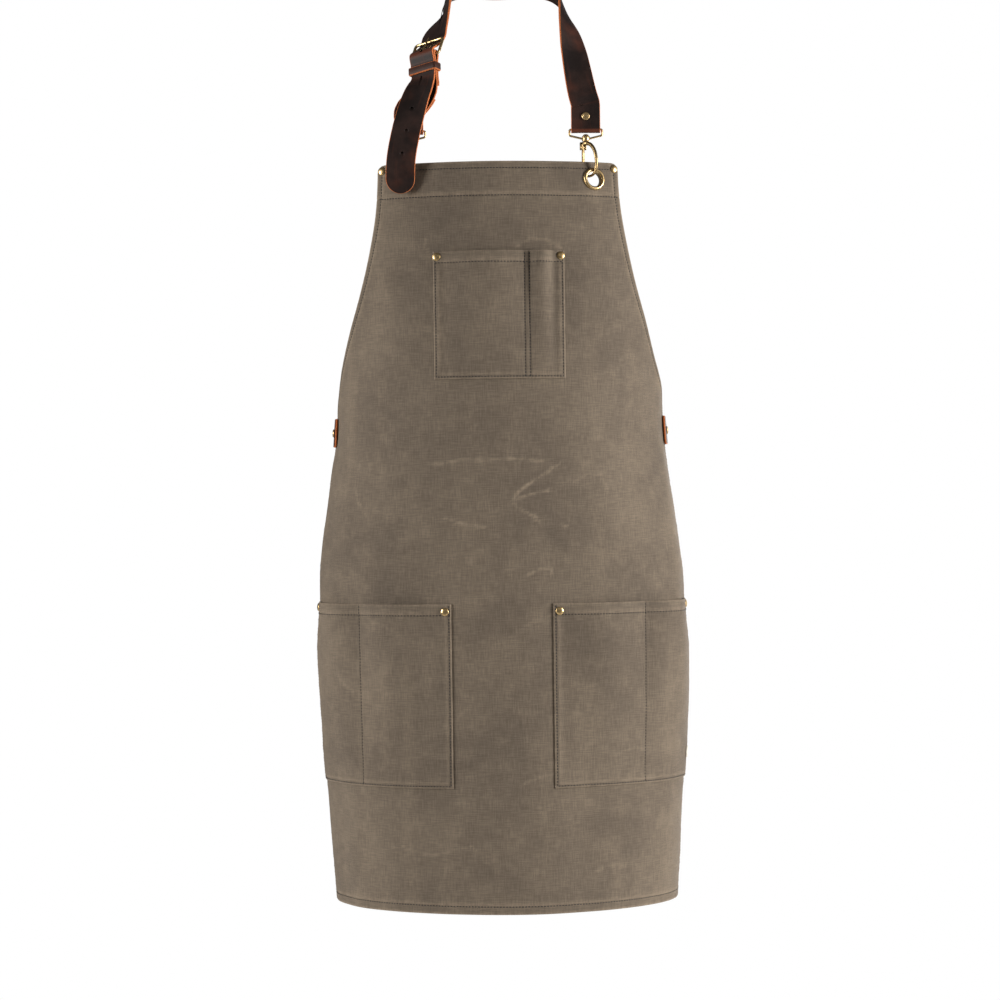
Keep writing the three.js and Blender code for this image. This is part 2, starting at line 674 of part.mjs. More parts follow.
const heel = new THREE.Vector3(-76.5, -116, -97); // middle of the neck buckle's heel bar
const heelAcross = new THREE.Vector3(-0.815, 0.56, -0.153).normalize();
const acrossFrame = (origin, along) => {
  const up = along.clone().addScaledVector(heelAcross, -along.dot(heelAcross)).normalize();
  return new THREE.Matrix4().makeBasis(heelAcross, up.clone().cross(heelAcross), up).setPosition(origin);
};
const buckleFrame = acrossFrame(heel, new THREE.Vector3(0.296, 0.488, 0.822));
const billetFrame = acrossFrame(heel, new THREE.Vector3(0.12, 0.1, 0.98));

const station = (x, y, z, out) => ({ point: new THREE.Vector3(x, y, z), out: new THREE.Vector3(...out) });
const framed = (frame, y, z, lean = 0) => ({
  point: inFrame(frame, 0, y, z),
  out: axisOf(frame, 1).addScaledVector(axisOf(frame, 2), lean),
});

const neckRoute = [
  framed(rightFold, layerSpacing, foldLength),
  station(90.8, -121.5, -137, [0.12, -0.98, 0.1]),
  station(83.5, -109, -94, [0.42, -0.85, 0.3]),
  station(78, -93, -61, [0.75, -0.55, 0.35]),
  station(73, -72, -37, [0.92, -0.1, 0.36]),
  station(66, -50, -19, [0.85, 0.3, 0.42]),
  station(53, -25, -6, [0.65, 0.62, 0.44]),
  station(32, -6, 0, [0.35, 0.83, 0.44]),
  station(0, leatherThickness / 2, 0, [0, 1, 0.1]),
  station(-30, -7, 0, [-0.35, 0.83, 0.44]),
  station(-47, -27, -7, [-0.65, 0.62, 0.44]),
  station(-53, -52, -20, [-0.85, 0.3, 0.42]),
  station(-53.5, -76, -38, [-0.92, -0.1, 0.36]),
  framed(buckleFrame, -underBar, buckle.length + 16),
  framed(buckleFrame, -underBar, buckle.length + 2, 0.1),
  framed(buckleFrame, (overBar - underBar) / 2, buckle.length / 2, 0.42),
  framed(buckleFrame, overBar, 0, 0.3),
  framed(billetFrame, 3 * layerSpacing + 0.4, -9),
  framed(billetFrame, 3 * layerSpacing + 0.4, -24),
  framed(billetFrame, 3 * layerSpacing + 2.8, -34),
  station(-85.6, -132.6, -142, [-0.4, -0.9, 0.05]),
  station(-92.5, -136.5, -161, [-0.2, -0.98, 0]),
  station(-98.5, -139, -185, [-0.12, -0.99, 0]),
  station(-102.5, -140, -211, [-0.05, -1, 0]),
  station(-103.6, -139, -245.5, [0, -1, 0]),
];

const rightFoldSections = [
  ...layerSections(rightFold, eyeWire, -1, foldSteps.toReversed()),
  ...wrapSections(rightFold, wrapRadius(eyeWire), 180, 360),
  ...layerSections(rightFold, eyeWire, 1, foldSteps.slice(0, -1)),
];

// Turns every section so that the directions across agree along the whole strap.
function aligned(sections) {
  sections.forEach((section, k) => {
    if (k > 0 && section.across.dot(sections[k - 1].across) < 0) section.across.negate();
  });
  return sections;
}

const neckSections = withFineEnd(aligned([...rightFoldSections, ...routeSections(neckRoute)]));

// Frames for the adjusting holes, at equal steps up from the end of a strap.
function holeFrames(sections, first, count) {
  const frames = [];
  let walked = 0;
  for (let k = sections.length - 1; k > 0 && frames.length < count; k -= 1) {
    const [here, next] = [sections[k], sections[k - 1]];
    const length = here.middle.distanceTo(next.middle);
    while (frames.length < count && walked + length >= first + holePitch * frames.length) {
      const t = (first + holePitch * frames.length - walked) / length;
      const middle = here.middle.clone().lerp(next.middle, t);
      frames.push(frameAt(middle, next.middle.clone().sub(here.middle), next.out));
    }
    walked += length;
  }
  return frames;
}

const neckHoles = holeFrames(neckSections, 34, 4).map((frame) => borer(frame, holeRadius, 8));
const spareHole = frameAt(neckRoute[12].point, new THREE.Vector3(-0.2, -0.7, -0.6), neckRoute[12].out);
const rightFoldRivet = frameAt(
  inFrame(rightFold, 0, layerSpacing + leatherThickness / 2, foldRivet), vertical, forward,
);
const foldGrip = 2 * leatherThickness + gap;
const neckCutters = [...neckHoles, prongSlot(buckleFrame), borer(rightFoldRivet, rivet.bore, 14)];
neckCutters.push(borer(spareHole, holeRadius, 8));
add('neck_strap', cut(leatherSolid(neckSections, roundEnd), neckCutters), leather);
addRivet('rivet_neck_fold', rightFoldRivet, foldGrip);
addBuckle('neck', buckleFrame);

// The billet is a folded strip that holds the left hook's eye at its foot and the buckle at its head.
const billetMiddle = routeSections([
  framed(leftFold, 0, 12),
  framed(leftFold, 0, 20),
  framed(billetFrame, 0, -38),
  framed(billetFrame, 0, -26),
  framed(billetFrame, 0, -12),
], 2);
const billetLayer = (face) => billetMiddle.map(({ middle, across, out }) => ({
  middle: middle.clone().addScaledVector(out, face * layerSpacing),
  across: across.clone(),
  out: out.clone().multiplyScalar(face),
}));
const nearSteps = [3, 6, 9];
const headSteps = nearSteps.map((step) => -step);
const half = Math.floor(billetMiddle.length / 2);
const billetSections = aligned([
  ...billetLayer(-1).slice(0, half).toReversed(),
  ...layerSections(leftFold, eyeWire, -1, nearSteps.toReversed()),
  ...wrapSections(leftFold, wrapRadius(eyeWire), 180, 360),
  ...layerSections(leftFold, eyeWire, 1, nearSteps),
  ...billetLayer(1),
  ...layerSections(billetFrame, buckle.wire, 1, headSteps.toReversed()),
  ...wrapSections(billetFrame, wrapRadius(buckle.wire), 0, 180),
  ...layerSections(billetFrame, buckle.wire, -1, headSteps),
  ...billetLayer(-1).slice(half + 1).toReversed(),
]);
const faceLift = layerSpacing + leatherThickness / 2;
const billetLow = frameAt(inFrame(leftFold, 0, faceLift, foldRivet), vertical, forward);
const billetHigh = frameAt(
  inFrame(billetFrame, 0, faceLift, -33), axisOf(billetFrame, 2), axisOf(billetFrame, 1),
);
const headSlot = new THREE.BoxGeometry(5, 14, 12).applyMatrix4(billetFrame);
const billetCutters = [borer(billetLow, rivet.bore, 14), borer(billetHigh, rivet.bore, 14), headSlot];
add('buckle_billet', cut(leatherSolid(billetSections), billetCutters), leather);
addRivet('rivet_billet_low', billetLow, foldGrip);
addRivet('rivet_billet_high', billetHigh, foldGrip);

const keeperTop = 3 * layerSpacing + 0.4 + leatherThickness / 2;
const keeperDrop = 15;
const neckKeeper = billetFrame.clone().setPosition(inFrame(billetFrame, 0, 0, -keeperDrop));
add('neck_keeper', keeperGeometry(-faceLift, keeperTop), leather, neckKeeper);

// ---------------------------------------------------------------- waist straps

const waist = torso[2];
const waistSide = waist.front + waist.depth;
const strapLift = clothThickness + tabStandoff + leatherThickness / 2;

// Station on the wearer's back, at an angle from the right side, with the strap's middle lifted.
function onBack(degrees, lift) {
  const angle = THREE.MathUtils.degToRad(degrees);
  const out = new THREE.Vector3(backDepth * Math.cos(angle), waist.half * Math.sin(angle), 0).normalize();
  const x = waist.half * Math.cos(angle);
  const point = new THREE.Vector3(x, waistSide + backDepth * Math.sin(angle), waistStrapHeight);
  return { point: point.addScaledVector(out, lift), out };
}

const sideStations = (sign) => [22, 14, 6].map((back) => {
  const frame = clothFrame(sign * (halfWidth - back), waistStrapHeight, strapLift);
  return { point: inFrame(frame, 0, 0, 0), out: axisOf(frame, 1) };
});

const backFace = waistSide + backDepth;
const waistHeel = new THREE.Vector3(-buckle.length / 2, backFace + strapLift + 1.5, waistStrapHeight);
const waistFrame = frameAt(waistHeel, new THREE.Vector3(1, 0, 0), new THREE.Vector3(0, 1, 0));

// The hem ends at the wearer's side; where a wider panel reaches further, the straps start behind it.
const hemAngle = angleAt(halfWidth, torsoAt(waistStrapHeight, 'half'), torsoAt(waistStrapHeight, 'depth'));
const hemTurn = Math.max(THREE.MathUtils.radToDeg(hemAngle) - 90, 0);
const lastBack = 68; // the last place, before the buckle, where both straps lie on the back
const behindHem = (degrees) => hemTurn + degrees * (1 - hemTurn / lastBack);

const freeRoute = [
  ...sideStations(1),
  ...[8, 24, 40, 56, 72].map((degrees) => onBack(behindHem(degrees), strapLift)),
  framed(waistFrame, -underBar, buckle.length + 14),
  framed(waistFrame, -underBar, buckle.length + 2, 0.1),
  framed(waistFrame, (overBar - underBar) / 2, buckle.length / 2, 0.42),
  framed(waistFrame, overBar, 0, 0.3),
  framed(waistFrame, 3 * layerSpacing + 0.4, -9),
  framed(waistFrame, 3 * layerSpacing + 0.4, -24),
  framed(waistFrame, 3 * layerSpacing + 3.2, -33),
  onBack(110, strapLift + 9.5),
  onBack(122, strapLift + 10.5),
];
const freeSections = withFineEnd(aligned(routeSections(freeRoute)));
const freeCutters = holeFrames(freeSections, 30, 4).map((frame) => borer(frame, holeRadius, 8));
freeCutters.push(prongSlot(waistFrame), borer(waistFrames.right, rivet.bore));
add('waist_strap_right', cut(leatherSolid(freeSections, roundEnd), freeCutters), leather);

const waistFold = 38;
const heldRoute = [
  ...sideStations(-1),
  ...[8, 24, 40, 56, lastBack].map((degrees) => onBack(180 - behindHem(degrees), strapLift)),
  framed(waistFrame, layerSpacing, -waistFold - 3),
];
const waistSteps = [...foldSteps.slice(0, -1), waistFold / 2 + 8].map((step) => -step);
const heldSections = aligned([
  ...routeSections(heldRoute),
  ...layerSections(waistFrame, buckle.wire, 1, waistSteps.toReversed()),
  ...wrapSections(waistFrame, wrapRadius(buckle.wire), 0, 180),
  ...layerSections(waistFrame, buckle.wire, -1, [...waistSteps, -waistFold]),
]);
const waistFoldRivet = frameAt(
  inFrame(waistFrame, 0, faceLift, 5 - waistFold), axisOf(waistFrame, 2), axisOf(waistFrame, 1),
);
const waistSlot = new THREE.BoxGeometry(5, 14, 12).applyMatrix4(waistFrame);
const heldCutters = [waistSlot, borer(waistFoldRivet, rivet.bore, 14), borer(waistFrames.left, rivet.bore)];
add('waist_strap_left', cut(leatherSolid(heldSections), heldCutters), leather);
addRivet('rivet_waist_fold', waistFoldRivet, foldGrip);
addBuckle('waist', waistFrame);
const waistKeeper = waistFrame.clone().setPosition(inFrame(waistFrame, 0, 0, -keeperDrop));
add('waist_keeper', keeperGeometry(-faceLift, keeperTop), leather, waistKeeper);

export default apron;
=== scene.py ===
import math
from functools import lru_cache

import bmesh
import bpy
from mathutils import Matrix, Vector, noise


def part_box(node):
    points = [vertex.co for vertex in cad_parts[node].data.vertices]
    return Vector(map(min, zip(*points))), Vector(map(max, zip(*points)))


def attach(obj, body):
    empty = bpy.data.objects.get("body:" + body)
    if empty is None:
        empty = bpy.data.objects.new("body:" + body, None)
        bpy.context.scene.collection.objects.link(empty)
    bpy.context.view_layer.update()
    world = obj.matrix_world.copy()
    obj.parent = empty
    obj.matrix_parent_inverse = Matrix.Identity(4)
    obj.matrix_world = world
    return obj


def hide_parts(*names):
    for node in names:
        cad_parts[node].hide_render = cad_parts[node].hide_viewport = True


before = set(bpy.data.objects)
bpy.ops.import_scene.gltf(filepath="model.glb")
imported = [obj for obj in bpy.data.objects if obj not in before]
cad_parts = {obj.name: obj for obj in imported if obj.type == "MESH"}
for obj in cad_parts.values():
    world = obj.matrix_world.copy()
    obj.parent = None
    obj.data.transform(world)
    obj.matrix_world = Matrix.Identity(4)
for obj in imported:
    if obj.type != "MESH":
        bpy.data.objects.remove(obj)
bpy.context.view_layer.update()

# ------------------------------------------------------------------------------------------------
# Camera: almost three metres in front of the wearer, level with the belly, with a long lens.



def scene_object(name, data):
    """An object for a mesh, a lamp or a camera, in the scene."""
    item = bpy.data.objects.new(name, data)
    bpy.context.scene.collection.objects.link(item)
    return item


CAMERA_DISTANCE = 2.968
CAMERA_HEIGHT = -0.56
FIELD_WIDTH = 0.375  # width of the view for each metre of distance
CAMERA_ROLL = 0.6  # degrees
VIEW_SHIFT = (-0.001, -0.011)
SENSOR = 36.0
camera_data = bpy.data.cameras.new("camera")
camera_data.sensor_width = SENSOR
camera_data.lens = SENSOR / FIELD_WIDTH
camera_data.shift_x, camera_data.shift_y = VIEW_SHIFT
camera = scene_object("camera", camera_data)
camera.location = (0.0, -CAMERA_DISTANCE, CAMERA_HEIGHT)
camera.rotation_euler = (math.radians(90), math.radians(CAMERA_ROLL), 0.0)
bpy.context.scene.camera = camera

# ------------------------------------------------------------------------------------------------
# Panel: one piece of waxed cotton canvas, cut with a bib and armholes, turned under and stitched all
# round.  It hangs round the wearer, so its section at each height is part of an ellipse.
# Sizes are in millimetres, and become metres where a mesh is made.

MM = 0.001
PANEL_LOW, PANEL_HIGH = [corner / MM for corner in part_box("apron_panel")]
BIB_TOP = PANEL_HIGH.z
HEM_HEIGHT = PANEL_LOW.z
ARMHOLE_DROP = 271.5
HALF_WIDTH = 250.0  # flat half width of the skirt
BIB_HALF_WIDTH = 134.0
CORNER = 9.0
CLOTH = 1.2
GAP = 0.35  # between pieces that lie on each other

# Torso that the cloth hangs round: height, half width, depth of the sides behind the front, y of the front.
TORSO = [
    (-1008.0, 186.0, 132.0, -163.0),
    (-690.0, 198.0, 120.0, -160.0),
    (-497.0, 178.0, 140.0, -168.0),
    (-330.0, 174.0, 115.0, -163.0),
    (-212.0, 172.0, 100.0, -143.0),
]
WAIST_STRAP_HEIGHT, WAIST_HALF, WAIST_DEPTH, WAIST_FRONT = TORSO[2]

CHEST = {"half": 69.5, "top": -309.0, "height": 135.0, "divider": 29.5}
HIP = {"inner": 53.8, "outer": HALF_WIDTH - 3.0, "top": -681.0, "height": 195.0}
HIP["divider"] = HALF_WIDTH - 91.0
RIVETS = {
    "corner": (BIB_HALF_WIDTH - 5.5, BIB_TOP - 6.5, CLOTH),
    "chest": (CHEST["half"] - 4, CHEST["top"] - 5.5, 2 * CLOTH + GAP),
    "hip_inner": (HIP["inner"] + 6.5, HIP["top"] - 8, 2 * CLOTH + GAP),
    "hip_outer": (HALF_WIDTH - 7.5, HIP["top"] - 6, 2 * CLOTH + GAP),
}
GROMMET_S = 104.5
GROMMET_Z = BIB_TOP - 18.5
WAIST_RIVET_S = HALF_WIDTH - 9


def clamp(value, low=0.0, high=1.0):
    return max(low, min(high, value))


def smooth(value):
    value = clamp(value)
    return value * value * (3 - 2 * value)


def spread(low, high, count):
    return [low + (high - low) * k / count for k in range(count + 1)]


def torso_at(z, column):
    """Smooth value between the torso's stations."""

    def slope(i):
        low, high = TORSO[max(i - 1, 0)], TORSO[min(i + 1, len(TORSO) - 1)]
        return (high[column] - low[column]) / (high[0] - low[0])

    above = next((i for i, station in enumerate(TORSO) if station[0] >= z), len(TORSO) - 1)
    i = int(clamp(above - 1, 0, len(TORSO) - 2))
    low, high = TORSO[i], TORSO[i + 1]
    span = high[0] - low[0]
    t = (z - low[0]) / span
    rise = (3 - 2 * t) * t * t
    bend = t * (1 - t) ** 2 * slope(i) + t * t * (t - 1) * slope(i + 1)
    return low[column] * (1 - rise) + high[column] * rise + bend * span


ARC_STEPS = 240


@lru_cache(maxsize=8192)
def torso_row(z):
    """The section's half width, depth and front at a height, and the length walked to each angle."""
    half, depth, front = (torso_at(z, column) for column in (1, 2, 3))
    step = math.pi / ARC_STEPS
    walked = [0.0]
    for k in range(ARC_STEPS):
        middle = (k + 0.5) * step
        walked.append(walked[-1] + step * math.hypot(half * math.cos(middle), depth * math.sin(middle)))
    return half, depth, front, walked


def on_torso(s, z, lift):
    """Point at a distance s across from the middle, a height z, and lifted off the lining side."""
    half, depth, front, walked = torso_row(round(z, 2))
    low, high = 0, ARC_STEPS
    while high - low > 1:
        middle = (low + high) // 2
        if walked[middle] <= abs(s):
            low = middle
        else:
            high = middle
    part = (abs(s) - walked[low]) / (walked[high] - walked[low])
    angle = math.copysign((low + part) * math.pi / ARC_STEPS, s)
    out = Vector((depth * math.sin(angle), -half * math.cos(angle), 0.0)).normalized()
    point = Vector((half * math.sin(angle), front + depth * (1 - math.cos(angle)), z))
    return point + out * lift


FIXINGS = [(s, z) for s, z, _ in RIVETS.values()]
FIXINGS += [(GROMMET_S, GROMMET_Z), (WAIST_RIVET_S, WAIST_STRAP_HEIGHT)]
FIXING_HOLD = 50.0  # how far round a fixing the cloth lies still

# Creases rubbed pale in the wax: the places (across, height) that each passes, and how strong it is.
CREASES = [
    ([(-76, -533), (-58, -532), (-38, -528), (-20, -530), (8, -528), (45, -531)], 0.5),
    ([(62, -534), (40, -548), (18, -563), (11, -573), (22, -583), (36, -590), (41, -597)], 0.62),
    ([(12, -572), (30, -566), (50, -562)], 0.62),
    ([(-60, -590), (-44, -596), (-18, -600)], 0.5),
    ([(28, -650), (40, -645), (51, -643), (54, -650)], 0.55),
    ([(63, -598), (69, -600)], 0.7),
    ([(-172, -556), (-166, -572), (-152, -588)], 0.3),
    ([(78, -553), (96, -544), (110, -546), (116, -560)], 0.3),
    ([(-47, -800), (-40, -792), (-34, -788)], 0.35),
    ([(26, -703), (44, -698), (60, -688)], 0.25),
    ([(-112, -938), (-96, -944), (-74, -946), (-50, -940), (-34, -936), (-30, -942)], 0.4),
    ([(20, -304), (34, -296), (50, -297), (66, -306)], 0.4),
    ([(-78, -294), (-79, -304), (-72, -314)], 0.3),
    ([(18, -872), (36, -864), (54, -861)], 0.28),
    ([(94, -968), (112, -961), (134, -962)], 0.28),
    ([(-188, -758), (-180, -768), (-166, -776)], 0.28),
    ([(-140, -700), (-120, -706), (-104, -716)], 0.22),
    ([(126, -842), (146, -836), (160, -840)], 0.22),
]
CREASE_WIDTH = 1.4
CREASE_REACH = 9.0  # no mark further than this from a crease's line
CREASE_WANDER = 1.5
CREASE_RAISE = 0.35
CREASE_WEAR = 0.72


def crease_at(s, z):
    """How strongly a crease marks this place of the cloth, from 0 to 1."""
    mark = 0.0
    for route, strength in CREASES:
        acrosses = [place[0] for place in route]
        if not min(acrosses) - CREASE_REACH - 3 < s < max(acrosses) + CREASE_REACH + 3:
            continue
        for (s0, z0), (s1, z1) in zip(route, route[1:]):
            run, rise = s1 - s0, z1 - z0
            along = clamp(((s - s0) * run + (z - z0) * rise) / (run * run + rise * rise))
            away = math.hypot(s - s0 - along * run, z - z0 - along * rise)
            if away < CREASE_REACH:
                away += CREASE_WANDER * noise.noise(Vector((s / 9.0, z / 9.0, 2.2)))
                share = 0.75 + 0.5 * noise.noise(Vector((s / 7.0, z / 7.0, 5.1)))
                mark = max(mark, strength * share * math.exp(-((away / CREASE_WIDTH) ** 2)))
    return mark


SKIRT_TOP, SKIRT_FADE = -560.0, 300.0  # the waves grow from here down
SIDE_START, SIDE_FADE = 120.0, 110.0  # and from here outwards


def drape(s, z):
    """Soft waves of the worn cloth, in millimetres, that fade out round each fixing."""
    skirt = smooth((SKIRT_TOP - z) / SKIRT_FADE)
    side = smooth((abs(s) - SIDE_START) / SIDE_FADE)
    fold = noise.noise(Vector((s / 95.0, z / 420.0, 1.7))) * (2.2 + 3.4 * skirt + 2.0 * side)
    pleat = noise.noise(Vector((s / 34.0, z / 300.0, 8.3))) * (0.5 + 1.5 * side)
    ripple = noise.noise(Vector((s / 40.0 + 5.0, z / 55.0, 4.1))) * 0.7
    held = 1.0
    for fixed_s, fixed_z in FIXINGS:
        held *= smooth(math.hypot(abs(s) - fixed_s, z - fixed_z) / FIXING_HOLD)
    return (fold + pleat + ripple) * held


def on_cloth(s, z, lift):
    return on_torso(s, z, lift + drape(s, z))


def edge_at(z):
    """Half width of the panel at a height: the armhole is a parabola down to the side hem."""
    drop = clamp((BIB_TOP - z) / ARMHOLE_DROP)
    edge = BIB_HALF_WIDTH + (HALF_WIDTH - BIB_HALF_WIDTH) * drop * drop
    from_corner = min(BIB_TOP - z, z - HEM_HEIGHT)
    if from_corner >= CORNER:
        return edge
    return edge - CORNER + math.sqrt(max(CORNER ** 2 - (CORNER - max(from_corner, 0)) ** 2, 0))


def add_piece(name, points, faces, body="root"):
    """A smooth mesh object from points in millimetres, riding on a body."""
    mesh = bpy.data.meshes.new(name)
    mesh.from_pydata([tuple(point * MM) for point in points], [], faces)
    mesh.validate()
    mesh.polygons.foreach_set("use_smooth", [True] * len(mesh.polygons))
    mesh.update()
    piece = scene_object(name, mesh)
    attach(piece, body)
    return piece


def mark_points(piece, name, values):
    """Stores one number at each point of a mesh for its finish to read."""
    piece.data.attributes.new(name, "FLOAT", "POINT").data.foreach_set("value", values)


def mark_flat(piece, flats):
    """Stores each point's place on the flat cloth or strap, in metres, as the mesh's texture map."""
    layer = piece.data.uv_layers.new(name="flat")
    for loop in piece.data.loops:
        s, z = flats[loop.vertex_index]
        layer.data[loop.index].uv = (s * MM, z * MM)


def cloth_sheet(name, rows, lines_at, back, front, worn):
    """A sheet with thickness over rows of heights and, on each row, lines of distances across."""
    flats = [(s, z) for z in rows for s in lines_at(z)]
    width = len(flats) // len(rows)
    points = [on_cloth(s, z, face(s, z)) for face in (front, back) for s, z in flats]
    under = len(flats)
    faces = []
    for row in range(len(rows) - 1):
        for k in range(width - 1):
            a = row * width + k
            b, c, d = a + 1, a + width + 1, a + width
            faces.append((a, b, c, d))
            faces.append((under + d, under + c, under + b, under + a))
    rim = [(k, k + 1) for k in range(width - 1)]
    rim += [((row + 1) * width - 1, (row + 2) * width - 1) for row in range(len(rows) - 1)]
    rim += [(under - width + k, under - width + k - 1) for k in range(width - 1, 0, -1)]
    rim += [(row * width, (row - 1) * width) for row in range(len(rows) - 1, 0, -1)]
    faces += [(start, under + start, under + end, end) for start, end in rim]
    piece = add_piece(name, points, faces)
    mark_flat(piece, flats + flats)
    wear = [worn(s, z) for s, z in flats]
    mark_points(piece, "wear", wear + [value * 0.5 for value in wear])
    return piece


SIDE_STITCH = 6.0  # from the edge to the stitching at the sides
HEM_WIDTH = 9.0
FOOT_STITCH = 8.4
TOP_STITCHES = (7.4, 37.0)
NEAR_EDGE = [0.0, 0.5, 1.4, 2.8, 4.2, 5.2, 6.0, 6.8, 8.0, 9.2, 10.5]


HEM_RAISE = 0.55  # by the layers folded under
TOP_RAISE = 0.5
STITCH_SINK = 0.4
EDGE_WEAR = 0.42


def groove(distance, width=0.9):
    return math.exp(-((distance / width) ** 2))


def pucker(along, distance):
    """Small gathers that a row of stitches pulls into the cloth beside it."""
    return 0.34 * groove(distance, 5.0) * noise.noise(Vector((along / 5.5, 3.3, 0.0)))


def panel_front(s, z):
    side, foot, top = edge_at(z) - abs(s), z - HEM_HEIGHT, BIB_TOP - z
    thick = HEM_RAISE * (1 - smooth((min(side, foot) - HEM_WIDTH + 1.5) / 2.5))
    thick = max(thick, TOP_RAISE * (1 - smooth((top - TOP_STITCHES[1] - 1.5) / 2.5)))
    sunk = groove(side - SIDE_STITCH) + groove(foot - FOOT_STITCH)
    sunk += sum(groove(top - stitch) for stitch in TOP_STITCHES)
    rolled = 0.7 * (1 - smooth(min(side, foot, top) / 1.6))
    waves = pucker(z, side - SIDE_STITCH) + pucker(s, foot - FOOT_STITCH)
    waves += sum(pucker(s, top - stitch) for stitch in TOP_STITCHES)
    return CLOTH + thick - STITCH_SINK * min(sunk, 1.0) - rolled + waves + CREASE_RAISE * crease_at(s, z)


def panel_back(s, z):
    side, foot = edge_at(z) - abs(s), z - HEM_HEIGHT
    turned = 1 - smooth((min(side, foot) - HEM_WIDTH) / 0.8)
    rolled = 0.9 * (1 - smooth(min(side, foot) / 1.2))
    return -1.3 * turned + rolled


def panel_worn(s, z):
    side, foot, top = edge_at(z) - abs(s), z - HEM_HEIGHT, BIB_TOP - z
    edge = 1 - smooth(min(side, foot, top) / 3.0)
    seams = 0.35 * max(groove(side - SIDE_STITCH - 2, 2.0), groove(foot - FOOT_STITCH - 2, 2.0))
    seams = max(seams, 0.35 * groove(top - TOP_STITCHES[1] + 2.5, 2.2))
    return max(EDGE_WEAR * edge, 0.6 * seams, CREASE_WEAR * crease_at(s, z))


panel_rows = [HEM_HEIGHT + d for d in NEAR_EDGE] + spread(HEM_HEIGHT + 13, BIB_TOP - 42, 300)
near_top = [40.0, 38.8, 37.8, 37.0, 36.2, 35.0, 33.5, 31.0, 28.0, 25.0, 22.0, 19.0]
near_top += [16.0, 13.5, 11.0, 9.0, 8.2, 7.4, 6.6, 5.4, 4.0, 2.6, 1.4, 0.6, 0.0]
panel_rows += [BIB_TOP - d for d in near_top]


def panel_lines(z):
    edge = edge_at(z)
    inner = edge - NEAR_EDGE[-1] - 2.0
    left = [-edge + d for d in NEAR_EDGE]
    return left + spread(-inner, inner, 190) + [-s for s in reversed(left)]


panel = cloth_sheet("canvas_panel", panel_rows, panel_lines, panel_back, panel_front, panel_worn)
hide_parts("apron_panel")


def cloth_normal(s, z):
    side = on_torso(s + 2, z, 0.0) - on_torso(s - 2, z, 0.0)
    up = on_torso(s, z + 2, 0.0) - on_torso(s, z - 2, 0.0)
    return side.cross(up).normalized()


def open_hole(piece, s, z, radius):
    """Opens a round hole through a sheet, and draws the hole's edge into a circle."""
    centre = on_torso(s, z, 0.0) * MM
    normal = cloth_normal(s, z)
    shape = bmesh.new()
    shape.from_mesh(piece.data)
    inside = [face for face in shape.faces if (face.calc_center_median() - centre).length < radius * MM]
    bmesh.ops.delete(shape, geom=inside, context="FACES")
    rim = [edge for edge in shape.edges if edge.is_boundary]
    for vertex in {vertex for edge in rim for vertex in edge.verts}:
        offset = vertex.co - centre
        flat = normal * offset.dot(normal)
        vertex.co = centre + flat + (offset - flat).normalized() * radius * MM
    bmesh.ops.bridge_loops(shape, edges=rim)
    shape.to_mesh(piece.data)
    shape.free()


GROMMET_HOLE = 9.6  # cut in the cloth, hidden under the grommet's flange
for sign in (-1, 1):
    open_hole(panel, sign * GROMMET_S, GROMMET_Z, GROMMET_HOLE)


class Wire:
    """A node's output, which takes part in sums: each sum adds its Math node."""

    def __init__(self, finish, socket):
        self.finish = finish
        self.socket = socket

    def output(self, name):
        return Wire(self.finish, self.socket.node.outputs[name])

    def math(self, operation, *others):
        return self.finish.node("Math", {"operation": operation}, dict(enumerate([self, *others])))

    def __add__(self, other):
        return self.math("ADD", other)

    __radd__ = __add__

    def __sub__(self, other):
        return self.math("SUBTRACT", other)

    def __rsub__(self, other):
        return (self * -1.0).math("ADD", other)

    def __mul__(self, other):
        return self.math("MULTIPLY", other)

    __rmul__ = __mul__

    def above(self, low, high):
        """From 0 where the value is below low to 1 where it is above high."""
        sockets = {"Value": self, "From Min": low, "From Max": high}
        return self.finish.node("MapRange", {"interpolation_type": "SMOOTHSTEP"}, sockets)


